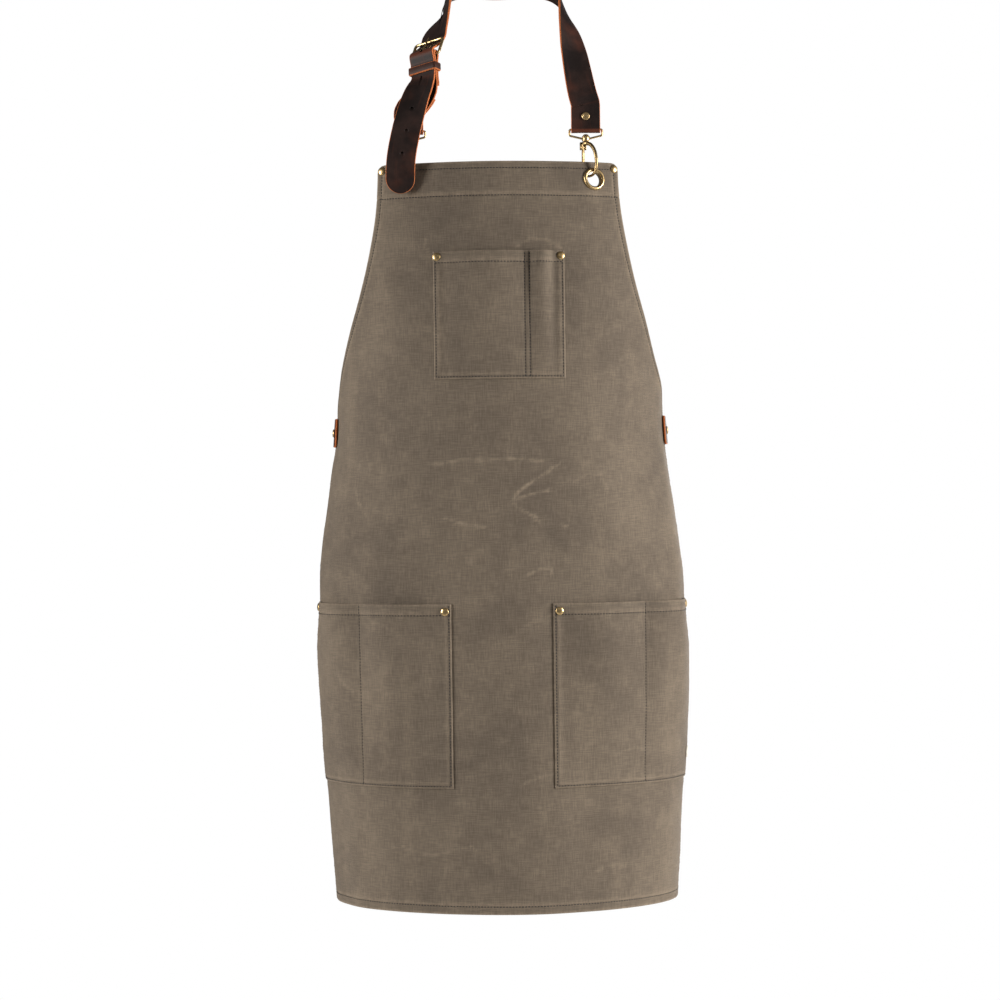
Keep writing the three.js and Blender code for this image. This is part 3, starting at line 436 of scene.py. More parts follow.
class Finish:
    """The nodes of a material or of the world, each made from its type, settings and sockets."""

    def __init__(self, name, owner=None):
        self.owner = owner or bpy.data.materials.new(name)
        self.owner.use_nodes = True
        self.tree = self.owner.node_tree
        self.tree.nodes.clear()

    def node(self, kind, settings, sockets, output=0):
        node = self.tree.nodes.new("ShaderNode" + kind)
        for setting, value in settings.items():
            setattr(node, setting, value)
        for name, value in sockets.items():
            if isinstance(value, Wire):
                self.tree.links.new(value.socket, node.inputs[name])
            else:
                node.inputs[name].default_value = value
        return Wire(self, node.outputs[output]) if len(node.outputs) else None

    def place(self):
        """The place in space of each point of a piece, in metres."""
        return self.node("TexCoord", {}, {}, "Object")

    def flat(self):
        """The place of each point on the flat cloth or strap, in metres."""
        return self.node("UVMap", {"uv_map": "flat"}, {})

    def mark(self, name):
        """A number that was stored at each point of a mesh."""
        return self.node("Attribute", {"attribute_name": name}, {}, "Fac")

    def mottle(self, place, scale, detail=3.0, roughness=0.55, distortion=0.0):
        sockets = {"Vector": place, "Scale": scale, "Detail": detail}
        sockets.update({"Roughness": roughness, "Distortion": distortion})
        return self.node("TexNoise", {}, sockets)

    def stretched(self, place, across, along):
        """Places scaled apart in each direction, for threads and fibres that run one way."""
        sockets = {0: place, 1: (across, along, 1.0)}
        return self.node("VectorMath", {"operation": "MULTIPLY"}, sockets)

    def mix(self, share, first, second, blend="MIX"):
        settings = {"data_type": "RGBA", "blend_type": blend, "clamp_factor": True}
        return self.node("Mix", settings, {0: share, 6: first, 7: second}, output=2)

    def bump(self, height, strength, distance, under=None):
        sockets = {"Strength": strength, "Distance": distance, "Height": height}
        if under is not None:
            sockets["Normal"] = under
        return self.node("Bump", {}, sockets)

    def surface(self, sockets):
        self.node("OutputMaterial", {}, {"Surface": self.node("BsdfPrincipled", {}, sockets)})
        return self.owner


def paint(red, green, blue):
    """Linear colour, with alpha, from the usual 0 to 255 values."""
    levels = [value / 255 for value in (red, green, blue)]
    return tuple(v / 12.92 if v <= 0.04045 else ((v + 0.055) / 1.055) ** 2.4 for v in levels) + (1.0,)


# Waxed canvas: a tight plain weave of slubby warp and weft, soaked in dark wax that has gathered in
# patches, and rubbed pale along the hems and creases.  Lighter vertical streaks are painted highlight,
# standing in for the light on the drape's folds.
WAX_DARK = paint(92, 81, 69)
WAX_BODY = paint(104, 92, 78)
# Lighter patches of drier wax, and also the colour of the painted highlight streaks.
WAX_DRY_AND_HIGHLIGHT = paint(124, 110, 93)
WAX_RUBBED = paint(170, 151, 128)
THREAD_PITCH = 0.95 * MM


def canvas_finish():
    cloth = Finish("waxed_canvas")
    flat = cloth.flat()
    across = cloth.node("SeparateXYZ", {}, {0: flat})
    along = across.output("Y")
    turns = 2 * math.pi / THREAD_PITCH
    weave = (across * turns).math("SINE") * (along * turns).math("SINE")
    warp_slub = cloth.mottle(cloth.stretched(flat, 900.0, 70.0), 1.0, 2.0)
    weft_slub = cloth.mottle(cloth.stretched(flat, 70.0, 900.0), 1.0, 2.0)
    slub = warp_slub + weft_slub
    patches = cloth.mottle(flat, 9.0, 5.0, 0.6, 0.4)
    blotch = cloth.mottle(flat, 42.0, 4.0, 0.6)
    # Vertical streaks painted lighter: painted highlight standing in for light on the drape's folds.
    painted_drape_highlight = cloth.mottle(cloth.stretched(flat, 26.0, 3.0), 1.0, 3.0)
    body = cloth.mix(patches.above(0.34, 0.66), WAX_DARK, WAX_BODY)
    body = cloth.mix(blotch.above(0.42, 0.8) * 0.4, body, WAX_DRY_AND_HIGHLIGHT)
    # Painted highlight: the vertical streaks mixed towards the lighter colour.
    body = cloth.mix(painted_drape_highlight.above(0.5, 0.75) * 0.3, body, WAX_DRY_AND_HIGHLIGHT)
    rubbed = cloth.mark("wear")
    broken = cloth.mottle(flat, 260.0, 3.0, 0.7).above(0.3, 0.62)
    body = cloth.mix(rubbed * (0.35 + broken * 0.65), body, WAX_RUBBED)
    speckle = (slub * 0.5).above(0.36, 0.66)
    body = cloth.mix(1.0, body, cloth.mix(speckle, (0.8, 0.8, 0.8, 1), (1.14, 1.14, 1.14, 1)), "MULTIPLY")
    threads = weave * 0.5 + slub
    relief = cloth.bump(threads, 0.55, 0.00028)
    relief = cloth.bump(blotch, 0.25, 0.0012, relief)
    gloss = 0.86 - patches * 0.16 - rubbed * 0.06
    return cloth.surface({
        "Base Color": body,
        "Roughness": gloss,
        "Specular IOR Level": 0.3,
        "Sheen Weight": 0.06,
        "Sheen Roughness": 0.5,
        "Normal": relief,
    })


CANVAS = canvas_finish()
panel.data.materials.append(CANVAS)

# ------------------------------------------------------------------------------------------------
# Facing: a strip of the same canvas behind the top of the bib, stitched to it along two rows, which
# backs the grommets and the corner rivets.

FACING_HEIGHT = 38.5
FACING_INSET = 1.0


def facing_front(s, z):
    return -GAP


def facing_back(s, z):
    side, foot, top = edge_at(z) - FACING_INSET - abs(s), z - BIB_TOP + FACING_HEIGHT, BIB_TOP - z
    sunk = sum(groove(top - stitch) for stitch in TOP_STITCHES)
    rolled = 0.6 * (1 - smooth(min(side, foot, top) / 1.4))
    return -GAP - CLOTH + 0.3 * min(sunk, 1.0) + rolled + pucker(s, top - TOP_STITCHES[1])


def facing_worn(s, z):
    return EDGE_WEAR * (1 - smooth(min(edge_at(z) - abs(s), BIB_TOP - z) / 3.0))


facing_rows = [BIB_TOP - FACING_HEIGHT, BIB_TOP - 38.0]
facing_rows += [z for z in panel_rows if -37.7 < z - BIB_TOP < -0.9]


def facing_lines(z):
    half = edge_at(z) - FACING_INSET
    near_side = [-half, 0.6 - half, 1.8 - half]
    return near_side + spread(3.6 - half, half - 3.6, 100) + [-s for s in reversed(near_side)]


facing = cloth_sheet("facing", facing_rows, facing_lines, facing_back, facing_front, facing_worn)
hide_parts("bib_facing")
facing.data.materials.append(CANVAS)
for sign in (-1, 1):
    open_hole(facing, sign * GROMMET_S, GROMMET_Z, GROMMET_HOLE)

# ------------------------------------------------------------------------------------------------
# Pockets: rectangles of the same canvas with a wide hem at the mouth and narrow hems turned under
# round the other sides.  Each lies on the panel at its seams and dividers, and gapes at its mouth.

POCKET_GAPE = 7.0
SEAM_MARGIN = 13.0
DIVIDER_MARGIN = 3.0
MOUTH_HEM = 12.0
POCKET_STITCH = 2.4  # from the pocket's sides and foot
MOUTH_EDGE = [0.0, 0.5, 1.4, 3.0, 6.0, 9.0, 10.6, 11.4, 12.0, 12.6, 13.6]
HEM_EDGE = [0.0, 0.5, 1.2, 1.8, 2.4, 3.0, 4.0, 5.4, 6.8, 8.4, 11.0]
POCKET_GRID = 2.3
RIM_WEAR = 0.26
RIDGE_WEAR = 0.45 * 0.35
SIDES = (("left", -1), ("right", 1))

# The flat piece that each replaces, its sides, its divider, and its mouth and depth.
POCKETS = {"pen_pocket": ("chest_pocket", -CHEST["half"], CHEST["half"], CHEST["divider"], CHEST)}
for side, sign in SIDES:
    low, high = sorted((sign * HIP["inner"], sign * HIP["outer"]))
    POCKETS[f"hip_{side}"] = (f"hip_pocket_{side}", low, high, sign * HIP["divider"], HIP)


def stitched_lines(name, divider):
    """The chest pocket's divider has two rows of stitches, and each hip pocket's has one."""
    return [divider - 2.6, divider + 2.6] if name == "pen_pocket" else [divider]


def pocket_sheet(name, flat_name, low, high, divider, sizes):
    top, height = sizes["top"], sizes["height"]
    foot = top - height
    stops = [low, divider, high]
    margins = [SEAM_MARGIN, DIVIDER_MARGIN, SEAM_MARGIN]
    seams = stitched_lines(name, divider)

    def back(s, z):
        k = next((i for i in range(1, len(stops)) if stops[i] >= s), len(stops) - 1)
        start, end = stops[k - 1] + margins[k - 1], stops[k] - margins[k]
        t = clamp((s - start) / (end - start))
        risen = clamp((z - foot) / height)
        sag = 1.0 + 0.25 * noise.noise(Vector((s / 40.0, z / 60.0, low)))
        return CLOTH + GAP + 0.15 + POCKET_GAPE * sag * math.sin(math.pi * t) * risen ** 0.9

    def nearest(s, z):
        return min(s - low, high - s, z - foot)

    def dimples(s, z):
        edge, mouth = nearest(s, z), top - z
        sunk = groove(edge - POCKET_STITCH, 0.8) + groove(mouth - MOUTH_HEM, 0.8)
        return min(sunk + sum(groove(s - seam) for seam in seams), 1.0)

    def front(s, z):
        edge, mouth = nearest(s, z), top - z
        thick = 0.55 * (1 - smooth((mouth - MOUTH_HEM - 1) / 2.0))
        thick = max(thick, 0.4 * (1 - smooth((edge - 6.5) / 2.0)))
        rolled = 0.8 * (1 - smooth(min(edge, mouth) / 1.5))
        waves = pucker(s, mouth - MOUTH_HEM)
        waves += pucker(z if edge < z - foot else s, edge - POCKET_STITCH)
        thick += 0.4 * crease_at(s, z) - 0.45 * dimples(s, z)
        return back(s, z) + CLOTH + thick - rolled + waves

    def worn(s, z):
        edge, mouth = nearest(s, z), top - z
        rim = 1 - smooth(min(edge, mouth) / 2.4)
        ridge = max(groove(mouth - MOUTH_HEM + 2, 1.8), groove(edge - 5.5, 1.5))
        return max(RIM_WEAR * rim, RIDGE_WEAR * ridge, CREASE_WEAR * crease_at(s, z))

    lines = [low + d for d in HEM_EDGE]
    lines += spread(low + 13.5, high - 13.5, int((high - low - 27) / POCKET_GRID))
    lines += [high - d for d in reversed(HEM_EDGE)]
    for seam in seams:
        lines += [seam - 1.6, seam - 0.8, seam, seam + 0.8, seam + 1.6]
    rows = [foot + d for d in HEM_EDGE]
    rows += spread(foot + 13.5, top - 16, int((height - 29) / POCKET_GRID))
    rows += [top - d for d in reversed(MOUTH_EDGE)]
    lines = sorted(set(round(line, 2) for line in lines))
    piece = cloth_sheet(name, rows, lambda z: lines, back, front, worn)
    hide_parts(flat_name)
    (high - low) * MM
    height * MM
    piece.data.materials.append(CANVAS)
    return front


pocket_faces = {name: pocket_sheet(name, *cut) for name, cut in POCKETS.items()}

# ------------------------------------------------------------------------------------------------
# Side label: a small blank tab of woven ribbon, folded once and caught in the right side hem.

LABEL = {"from_side": 5.5, "width": 9.0, "height": 12.0, "z": -849.0}
LABEL_HIGH = HALF_WIDTH - LABEL["from_side"]


def label_back(s, z):
    return pocket_faces["hip_right"](HIP["outer"] - 0.2, z) + 0.9


def label_front(s, z):
    return label_back(s, z) + 0.6 + 0.35 * math.sin((s - LABEL_HIGH) / LABEL["width"] * math.pi) ** 2


label_rows = spread(LABEL["z"] - LABEL["height"] / 2, LABEL["z"] + LABEL["height"] / 2, 16)
label = cloth_sheet(
    "blank_label",
    label_rows,
    lambda z: spread(LABEL_HIGH - LABEL["width"], LABEL_HIGH, 12),
    label_back,
    label_front,
    lambda s, z: 0.0,
)
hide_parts("side_label")

RIBBON = Finish("woven_ribbon")
ribbon_flat = RIBBON.flat()
ribbon_across = RIBBON.node("SeparateXYZ", {}, {0: ribbon_flat})
RIBBON_RIB = 0.7 * MM
ribs = (ribbon_across.output("Y") * (2 * math.pi / RIBBON_RIB)).math("SINE")
ribbon_fuzz = RIBBON.mottle(ribbon_flat, 600.0, 3.0)
ribbon_colour = RIBBON.mix(ribbon_fuzz, paint(176, 168, 156), paint(214, 208, 198))
label.data.materials.append(RIBBON.surface({
    "Base Color": ribbon_colour,
    "Roughness": 0.8 - ribbon_fuzz * 0.1,
    "Normal": RIBBON.bump(ribs * 0.5 + ribbon_fuzz, 0.5, 0.0002),
}))

# ------------------------------------------------------------------------------------------------
# Stitching: dark waxed thread in straight lockstitch, about three millimetres to the stitch.  Each
# stitch is a short bead of thread that dips into the cloth at both ends, on the face and the lining.

STITCH_PITCH = 3.3
STITCH_LENGTH = 2.35
THREAD_RADIUS = 0.52
THREAD_SIDES = 6
THREAD_RINGS = ((-1.0, 0.15), (-0.8, 0.8), (-0.3, 1.0), (0.3, 1.0), (0.8, 0.8), (1.0, 0.15))


def walk(route, step):
    """Places at equal steps along a route of (s, z), each with the direction of the route."""
    placed = []
    walked = 0.0
    due = step / 2
    for (s0, z0), (s1, z1) in zip(route, route[1:]):
        length = math.hypot(s1 - s0, z1 - z0)
        while due <= walked + length:
            t = (due - walked) / length
            placed.append((s0 + (s1 - s0) * t, z0 + (z1 - z0) * t, (s1 - s0) / length, (z1 - z0) / length))
            due += step
        walked += length
    return placed


def ring_faces(rings, size, first=0, closed=False):
    """Faces between rings of points; an open row of rings is closed off at both ends."""
    faces = []
    for ring in range(rings if closed else rings - 1):
        here, ahead = first + ring * size, first + (ring + 1) % rings * size
        for k in range(size):
            after = (k + 1) % size
            faces.append((here + k, here + after, ahead + after, ahead + k))
    if not closed:
        faces.append(tuple(range(first + size - 1, first - 1, -1)))
        faces.append(tuple(range(first + (rings - 1) * size, first + rings * size)))
    return faces


def stitch_mesh(points, faces, centre, along, out):
    across = along.cross(out).normalized()
    first = len(points)
    for reach, size in THREAD_RINGS:
        middle = centre + along * (reach * STITCH_LENGTH / 2) - out * (0.35 * reach ** 4)
        for side in range(THREAD_SIDES):
            angle = 2 * math.pi * side / THREAD_SIDES
            spoke = across * math.cos(angle) + out * (math.sin(angle) * 0.75)
            points.append(middle + spoke * (THREAD_RADIUS * size))
    faces += ring_faces(len(THREAD_RINGS), THREAD_SIDES, first)


def stitch_row(name, routes, surface, facing_way=1.0):
    """All the stitches of some routes, lying on the cloth's surface given as a lift at each place."""
    points, faces = [], []
    for route in routes:
        for s, z, ds, dz in walk(route, STITCH_PITCH):
            ahead = on_cloth(s + ds, z + dz, surface(s + ds, z + dz))
            behind = on_cloth(s - ds, z - dz, surface(s - ds, z - dz))
            along = (ahead - behind).normalized()
            out = cloth_normal(s, z) * facing_way
            centre = on_cloth(s, z, surface(s, z)) + out * 0.22
            stitch_mesh(points, faces, centre, along, out)
    piece = add_piece(name, points, faces)
    piece.data.materials.append(THREAD)
    return piece


THREAD_FINISH = Finish("waxed_thread")
thread_place = THREAD_FINISH.place()
thread_fuzz = THREAD_FINISH.mottle(thread_place, 1500.0, 3.0)
thread_fade = THREAD_FINISH.mottle(thread_place, 60.0, 3.0)
thread_colour = THREAD_FINISH.mix(thread_fade.above(0.45, 0.85), paint(26, 22, 20), paint(62, 53, 45))
THREAD = THREAD_FINISH.surface({
    "Base Color": thread_colour,
    "Roughness": 0.62 - thread_fuzz * 0.15,
    "Specular IOR Level": 0.4,
    "Normal": THREAD_FINISH.bump(thread_fuzz, 0.5, 0.00015),
})


def side_route(sign, low, high, inset):
    """Route up the side hem and the armhole, inside the edge."""
    return [(sign * (edge_at(z) - inset), z) for z in spread(low, high, 90)]


SIDE_LOW, SIDE_HIGH = HEM_HEIGHT + FOOT_STITCH, BIB_TOP - 2.0
hem_routes = [side_route(sign, SIDE_LOW, SIDE_HIGH, SIDE_STITCH) for sign in (-1, 1)]
foot_half = HALF_WIDTH - SIDE_STITCH
hem_routes.append([(-foot_half, HEM_HEIGHT + FOOT_STITCH), (foot_half, HEM_HEIGHT + FOOT_STITCH)])
top_routes = []
for drop in TOP_STITCHES:
    top_half = edge_at(BIB_TOP - drop) - 3.0
    top_routes.append([(-top_half, BIB_TOP - drop), (top_half, BIB_TOP - drop)])
stitch_row("hem_stitches", hem_routes + top_routes, panel_front)
stitch_row("hem_stitches_inside", hem_routes, panel_back, -1.0)
stitch_row("facing_stitches_inside", top_routes, facing_back, -1.0)

for name, (_, low, high, divider, sizes) in POCKETS.items():
    front = pocket_faces[name]
    top, foot = sizes["top"], sizes["top"] - sizes["height"] + POCKET_STITCH
    left, right = low + POCKET_STITCH, high - POCKET_STITCH
    sewn = [[(left, top - 1.5), (left, foot), (right, foot), (right, top - 1.5)]]
    sewn += [[(line, top - 1.5), (line, foot)] for line in stitched_lines(name, divider)]
    mouth = [[(low + 1.5, top - MOUTH_HEM), (high - 1.5, top - MOUTH_HEM)]]
    stitch_row(f"{name}_stitches", sewn + mouth, front)
    stitch_row(f"{name}_stitches_inside", sewn, lambda s, z: 0.0, -1.0)

# ------------------------------------------------------------------------------------------------
# Rivets: double cap rivets of brass, set through the cloth where it is pulled hardest, with a domed
# cap on the face and a flat cap on the lining.

RIVET_CAP, RIVET_DOME, RIVET_BACK, RIVET_SEAT, RIVET_BACK_HEIGHT = 4.4, 2.1, 3.9, 1.1, 1.1
CLOTH_GRIP = 2 * CLOTH + GAP


def frame_of(origin, x, z):
    """A frame from its place and two of its directions."""
    return Matrix.Translation(origin) @ Matrix((x, z.cross(x), z)).transposed().to_4x4()


def frame_at(origin, up, out):
    """A frame with x across, y outward and z up along the cloth or a strap."""
    z = up.normalized()
    return frame_of(origin, out.cross(z).normalized(), z)


def cloth_frame(s, z, lift):
    up = on_torso(s, z + 2, lift) - on_torso(s, z - 2, lift)
    side = on_torso(s + 2, z, lift) - on_torso(s - 2, z, lift)
    return frame_at(on_torso(s, z, lift), up, side.cross(up))


def turned(profile, place, segments=48):
    """Points and faces of a profile of (radius, height) turned round the frame's y."""
    points = []
    for radius, height in profile:
        for k in range(segments):
            angle = 2 * math.pi * k / segments
            points.append(place @ Vector((radius * math.cos(angle), height, radius * math.sin(angle))))
    faces = []
    for row in range(len(profile) - 1):
        for k in range(segments):
            a, b = row * segments + k, row * segments + (k + 1) % segments
            faces.append((a, a + segments, b + segments, b))
    return points, faces


def joined(*shapes):
    """One list of points and faces from several."""
    points, faces = [], []
    for shape_points, shape_faces in shapes:
        first = len(points)
        points += shape_points
        faces += [tuple(first + corner for corner in face) for face in shape_faces]
    return points, faces


def curved(start, end, steps):
    """A convex quarter from one profile point to another, for a dome."""
    (r0, y0), (r1, y1) = start, end
    points = []
    for k in range(steps + 1):
        angle = math.pi / 2 * k / steps
        turn, rise = 1 - math.cos(angle), math.sin(angle)
        points.append((r0 + (r1 - r0) * turn, y0 + (y1 - y0) * rise))
    return points


def rivet_shapes(place, grip, dished):
    """The cap with its stem, and the flat cap behind."""
    rim = [(1.2, -grip), (1.2, 0.05), (RIVET_CAP - 0.3, 0.05)]
    dome = curved((RIVET_CAP, 0.35), (0.02, RIVET_DOME), 10)
    if dished:
        dome = curved((RIVET_CAP, 0.35), (RIVET_CAP - 1.3, RIVET_DOME - 0.5), 5)
        dish = ((2.3, 0.75), (1.9, 1.1), (1.2, 0.7), (0.02, 0.6))
        dome += [(radius, RIVET_DOME - sunk) for radius, sunk in dish]
    start = -grip - RIVET_SEAT
    end = start - RIVET_BACK_HEIGHT
    back = [(1.4, start), (RIVET_BACK - 0.15, start), (RIVET_BACK, start - 0.2)]
    back += [(RIVET_BACK - 0.1, end + 0.3), (RIVET_BACK - 0.5, end), (0.9, end)]
    back += [(0.5, end + 0.35), (0.02, end + 0.4)]
    return turned(rim + dome, place), turned(list(reversed(back)), place)


def brass_finish(name, bright, dark, tarnish):
    """Antique brass: bright where it is rubbed, browned in patches and fine scratches."""
    metal = Finish(name)
    place = metal.place()
    patches = metal.mottle(place, 260.0, 4.0, 0.6)
    grain = metal.mottle(place, 1400.0, 3.0, 0.6)
    curvature = metal.node("NewGeometry", {}, {}, "Pointiness").above(0.46, 0.56)
    share = patches.above(0.3, 0.72) * tarnish
    colour = metal.mix(share, bright, dark)
    colour = metal.mix(curvature * 0.4, colour, bright)
    return metal.surface({
        "Base Color": colour,
        "Metallic": 1.0,
        "Roughness": 0.22 + share * 0.24 + grain * 0.08,
        "Normal": metal.bump(grain + patches * 0.5, 0.18, 0.0002),
    })


BRASS = brass_finish("antique_brass", paint(204, 176, 128), paint(104, 82, 52), 0.85)
DARK_BRASS = brass_finish("dark_brass", paint(158, 134, 94), paint(72, 58, 38), 0.95)


def face_outward(mesh, merged=0.0):
    """Turns every face outward, after points closer than a distance are merged."""
    shell = bmesh.new()
    shell.from_mesh(mesh)
    if merged:
        bmesh.ops.remove_doubles(shell, verts=shell.verts, dist=merged)
    bmesh.ops.recalc_face_normals(shell, faces=shell.faces)
    shell.to_mesh(mesh)
    shell.free()


def add_metal(name, shape, replaced, body="root", finish=BRASS):
    piece = add_piece(name, shape[0], shape[1], body)
    face_outward(piece.data, merged=0.02 * MM)
    piece.data.materials.append(finish)
    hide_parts(*replaced)
    return piece


def add_rivet(name, place, grip, dished=False):
    cap, back = rivet_shapes(place, grip, dished)
    add_metal(f"{name}_face", cap, [f"{name}_cap"])
    add_metal(f"{name}_burr", back, [f"{name}_back"])


for kind, (s, z, lift) in RIVETS.items():
    for side, sign in SIDES:
        add_rivet(f"rivet_{kind}_{side}", cloth_frame(sign * s, z, lift + 0.5), CLOTH_GRIP + 0.5)

# ------------------------------------------------------------------------------------------------
# Grommets: large brass eyelets near the top corners, with a fat rolled rim on the face.  The barrel
# goes through bib and facing and is rolled over a washer on the lining side.

GROMMET_BORE, GROMMET_FLANGE, GROMMET_RIM = 8.0, 12.3, 2.4
GROMMET_WASHER = 11.2

for side, sign in SIDES:
    place = cloth_frame(sign * GROMMET_S, GROMMET_Z, CLOTH)
    rim_middle = (GROMMET_BORE + GROMMET_FLANGE) / 2
    rim_half = (GROMMET_FLANGE - GROMMET_BORE) / 2
    back_face = -CLOTH_GRIP - GAP
    profile = [(rim_middle, 0.3)]
    for angle in spread(-0.15, math.pi + 0.15, 22):
        height = GROMMET_RIM * math.sin(angle)
        profile.append((rim_middle + rim_half * math.cos(angle), 0.45 + max(height, -0.2)))
    profile.append((GROMMET_BORE, -1.0))
    rolled_foot = ((0, 1.4), (0.4, 2.0), (1.4, 2.1), (2.1, 1.6), (2.1, 1.3), (0.8, 1.0))
    profile += [(GROMMET_BORE + wide, back_face - deep) for wide, deep in rolled_foot]
    profile += [(GROMMET_BORE + 0.8, 0.3), (rim_middle, 0.3)]
    add_metal(f"eyelet_{side}", turned(profile, place, 72), [f"grommet_{side}"])
    inner, outer = GROMMET_BORE + 1.15, GROMMET_WASHER
    washer = [(inner, 0), (outer - 0.2, 0), (outer, 0.2), (outer, 0.8)]
    washer += [(outer - 0.4, 1.1), (inner, 1.0), (inner, 0)]
    washer = [(radius, back_face - deep) for radius, deep in washer]
    add_metal(f"eyelet_washer_{side}", turned(washer, place, 72), [f"grommet_washer_{side}"])

# ------------------------------------------------------------------------------------------------
# Snap hooks: a bent wire eye with a swivel collar holds the strap, and a cast hook turns in it.  The
# hook's gate is a small lever on a pin, which closes against the hook's tip inside the grommet.

STRAP_WIDTH = 31.0
EYE_WIRE, EYE_DROP = 1.1, 9.8
EYE_PLAY = 0.8  # between the strap and each side of the eye
EYE_SIDE = 6.5  # straight part of the eye's side
COLLAR_RADIUS, COLLAR_HEIGHT = 4.2, 5.6
HOOK_WIRE = 1.6
HOOK_YAW = math.radians(40)
HOOK_BAR = Vector((94.5, -119.3, -177.0))  # middle of the right eye's top bar
PIN_ACROSS, PIN_DOWN, PIN_RADIUS = -4.5, -9.0, 0.8


TUBE_SIDES = 20


def swept(path, radius_at, closed=False):
    """A tube along a path of points, with the radius given at each share of its length."""
    count = len(path)
    steps = []
    for k in range(count):
        before = path[(k - 1) % count] if closed or k > 0 else path[0]
        after = path[(k + 1) % count] if closed or k < count - 1 else path[-1]
        steps.append((after - before).normalized())
    side = steps[0].orthogonal().normalized()
    points = []
    for k in range(count):
        side = (side - steps[k] * side.dot(steps[k])).normalized()
        other = steps[k].cross(side)
        radius = radius_at(k / (count - 1))
        for j in range(TUBE_SIDES):
            angle = 2 * math.pi * j / TUBE_SIDES
            points.append(path[k] + (side * math.cos(angle) + other * math.sin(angle)) * radius)
    return points, ring_faces(count, TUBE_SIDES, closed=closed)


def rounded_loop(corners, radius, steps=7):
    """A closed outline in the frame's x and z, with each corner turned as an arc."""
    path = []
    for k, corner in enumerate(corners):
        here = Vector(corner)
        back = (Vector(corners[k - 1]) - here).normalized()
        ahead = (Vector(corners[(k + 1) % len(corners)]) - here).normalized()
        start, end = here + back * radius, here + ahead * radius
        for t in spread(0.0, 1.0, steps):
            path.append(start * (1 - t) ** 2 + here * (2 * t * (1 - t)) + end * t ** 2)
    return [Vector((point.x, 0.0, point.y)) for point in path]


def placed(shape, place):
    return [place @ point for point in shape[0]], shape[1]


def catmull(points, t, powers=True):
    """Point on a smooth curve through all the points, with t from 0 to 1."""
    at = clamp(t) * (len(points) - 1)
    k = min(int(at), len(points) - 2)
    w = at - k
    p1, p2 = points[k], points[k + 1]
    p0 = points[k - 1] if k > 0 else p1 * 2 - p2
    p3 = points[k + 2] if k + 2 < len(points) else p2 * 2 - p1
    if powers:
        d1 = (p2 - p1).length ** 0.5
        d0 = (p1 - p0).length ** 0.5 or d1
        d2 = (p3 - p2).length ** 0.5 or d1
        m1 = ((p1 - p0) / d0 - (p2 - p0) / (d0 + d1) + (p2 - p1) / d1) * d1
        m2 = ((p2 - p1) / d1 - (p3 - p1) / (d1 + d2) + (p3 - p2) / d2) * d1
    else:
        m1, m2 = (p2 - p0) * 0.5, (p3 - p1) * 0.5
    cubic = p1 * 2 - p2 * 2 + m1 + m2
    square = p2 * 3 - p1 * 3 - m1 * 2 - m2
    return p1 + m1 * w + square * w ** 2 + cubic * w ** 3


def block(low, high, bevel):
    """A box between two corners with rounded edges."""
    shape = bmesh.new()
    bmesh.ops.create_cube(shape, size=1.0)
    for vertex in shape.verts:
        vertex.co = Vector([low[i] + (high[i] - low[i]) * (vertex.co[i] + 0.5) for i in range(3)])
    bmesh.ops.bevel(shape, geom=shape.edges[:], offset=bevel, segments=3, profile=0.5, affect="EDGES")
    shape.verts.index_update()
    points = [vertex.co.copy() for vertex in shape.verts]
    faces = [tuple(vertex.index for vertex in face.verts) for face in shape.faces]
    shape.free()
    return points, faces


def upright(profile):
    """A profile of (radius, height) turned round the frame's z."""
    points, faces = turned(profile, Matrix.Identity(4), 32)
    return [Vector((point.x, -point.z, point.y)) for point in points], faces


def eye_shape():
    half = STRAP_WIDTH / 2 + EYE_PLAY + EYE_WIRE
    outline = [(-half, EYE_DROP), (half, EYE_DROP), (half, EYE_DROP - EYE_SIDE), (2.5, -0.3), (-2.5, -0.3)]
    outline.append((-half, EYE_DROP - EYE_SIDE))
    loop = swept(rounded_loop(outline, 1.8), lambda t: EYE_WIRE, closed=True)
    low, high = -COLLAR_HEIGHT / 2, COLLAR_HEIGHT / 2
    wide = COLLAR_RADIUS
    collar = [(2.2, low), (wide - 0.5, low), (wide, low + 0.6), (wide - 0.3, 0.0)]
    collar += [(wide, high - 0.6), (wide - 0.5, high), (2.2, high), (2.2, low)]
    return joined(loop, upright(collar))


def hook_shape():
    top = COLLAR_HEIGHT / 2 + GAP
    post = [(0.02, top + 1.7), (1.8, top + 1.5), (2.9, top + 0.8), (3.1, top + 0.2), (3.0, top), (1.8, top)]
    post += [(1.8, -top - 1.0), (0.02, -top - 1.0)]
    shoulder = block((-7.5, -2.5, -top - 3.6), (3.5, 2.5, -top), 0.9)
    stations = [(1, -5.4), (6, -6.2), (12.5, -12), (16, -21)]
    stations += [(16.2, -31), (13, -38), (6, -40.6), (-3.2, -38.6)]
    line = [Vector((x, 0, z)) for x, z in stations]
    path = [catmull(line, t) for t in spread(0.0, 1.0, 70)]
    arm = swept(path, lambda t: HOOK_WIRE * (1.25 - 0.4 * smooth((t - 0.1) / 0.8)))
    cheeks = []
    for y in (-2.0, 2.0):
        low = (PIN_ACROSS - 2.8, y - 0.5, PIN_DOWN - 2.8)
        high = (PIN_ACROSS + 2.8, y + 0.5, PIN_DOWN + 5.2)
        cheeks.append(block(low, high, 0.35))
    return joined(upright(post), shoulder, arm, *cheeks)


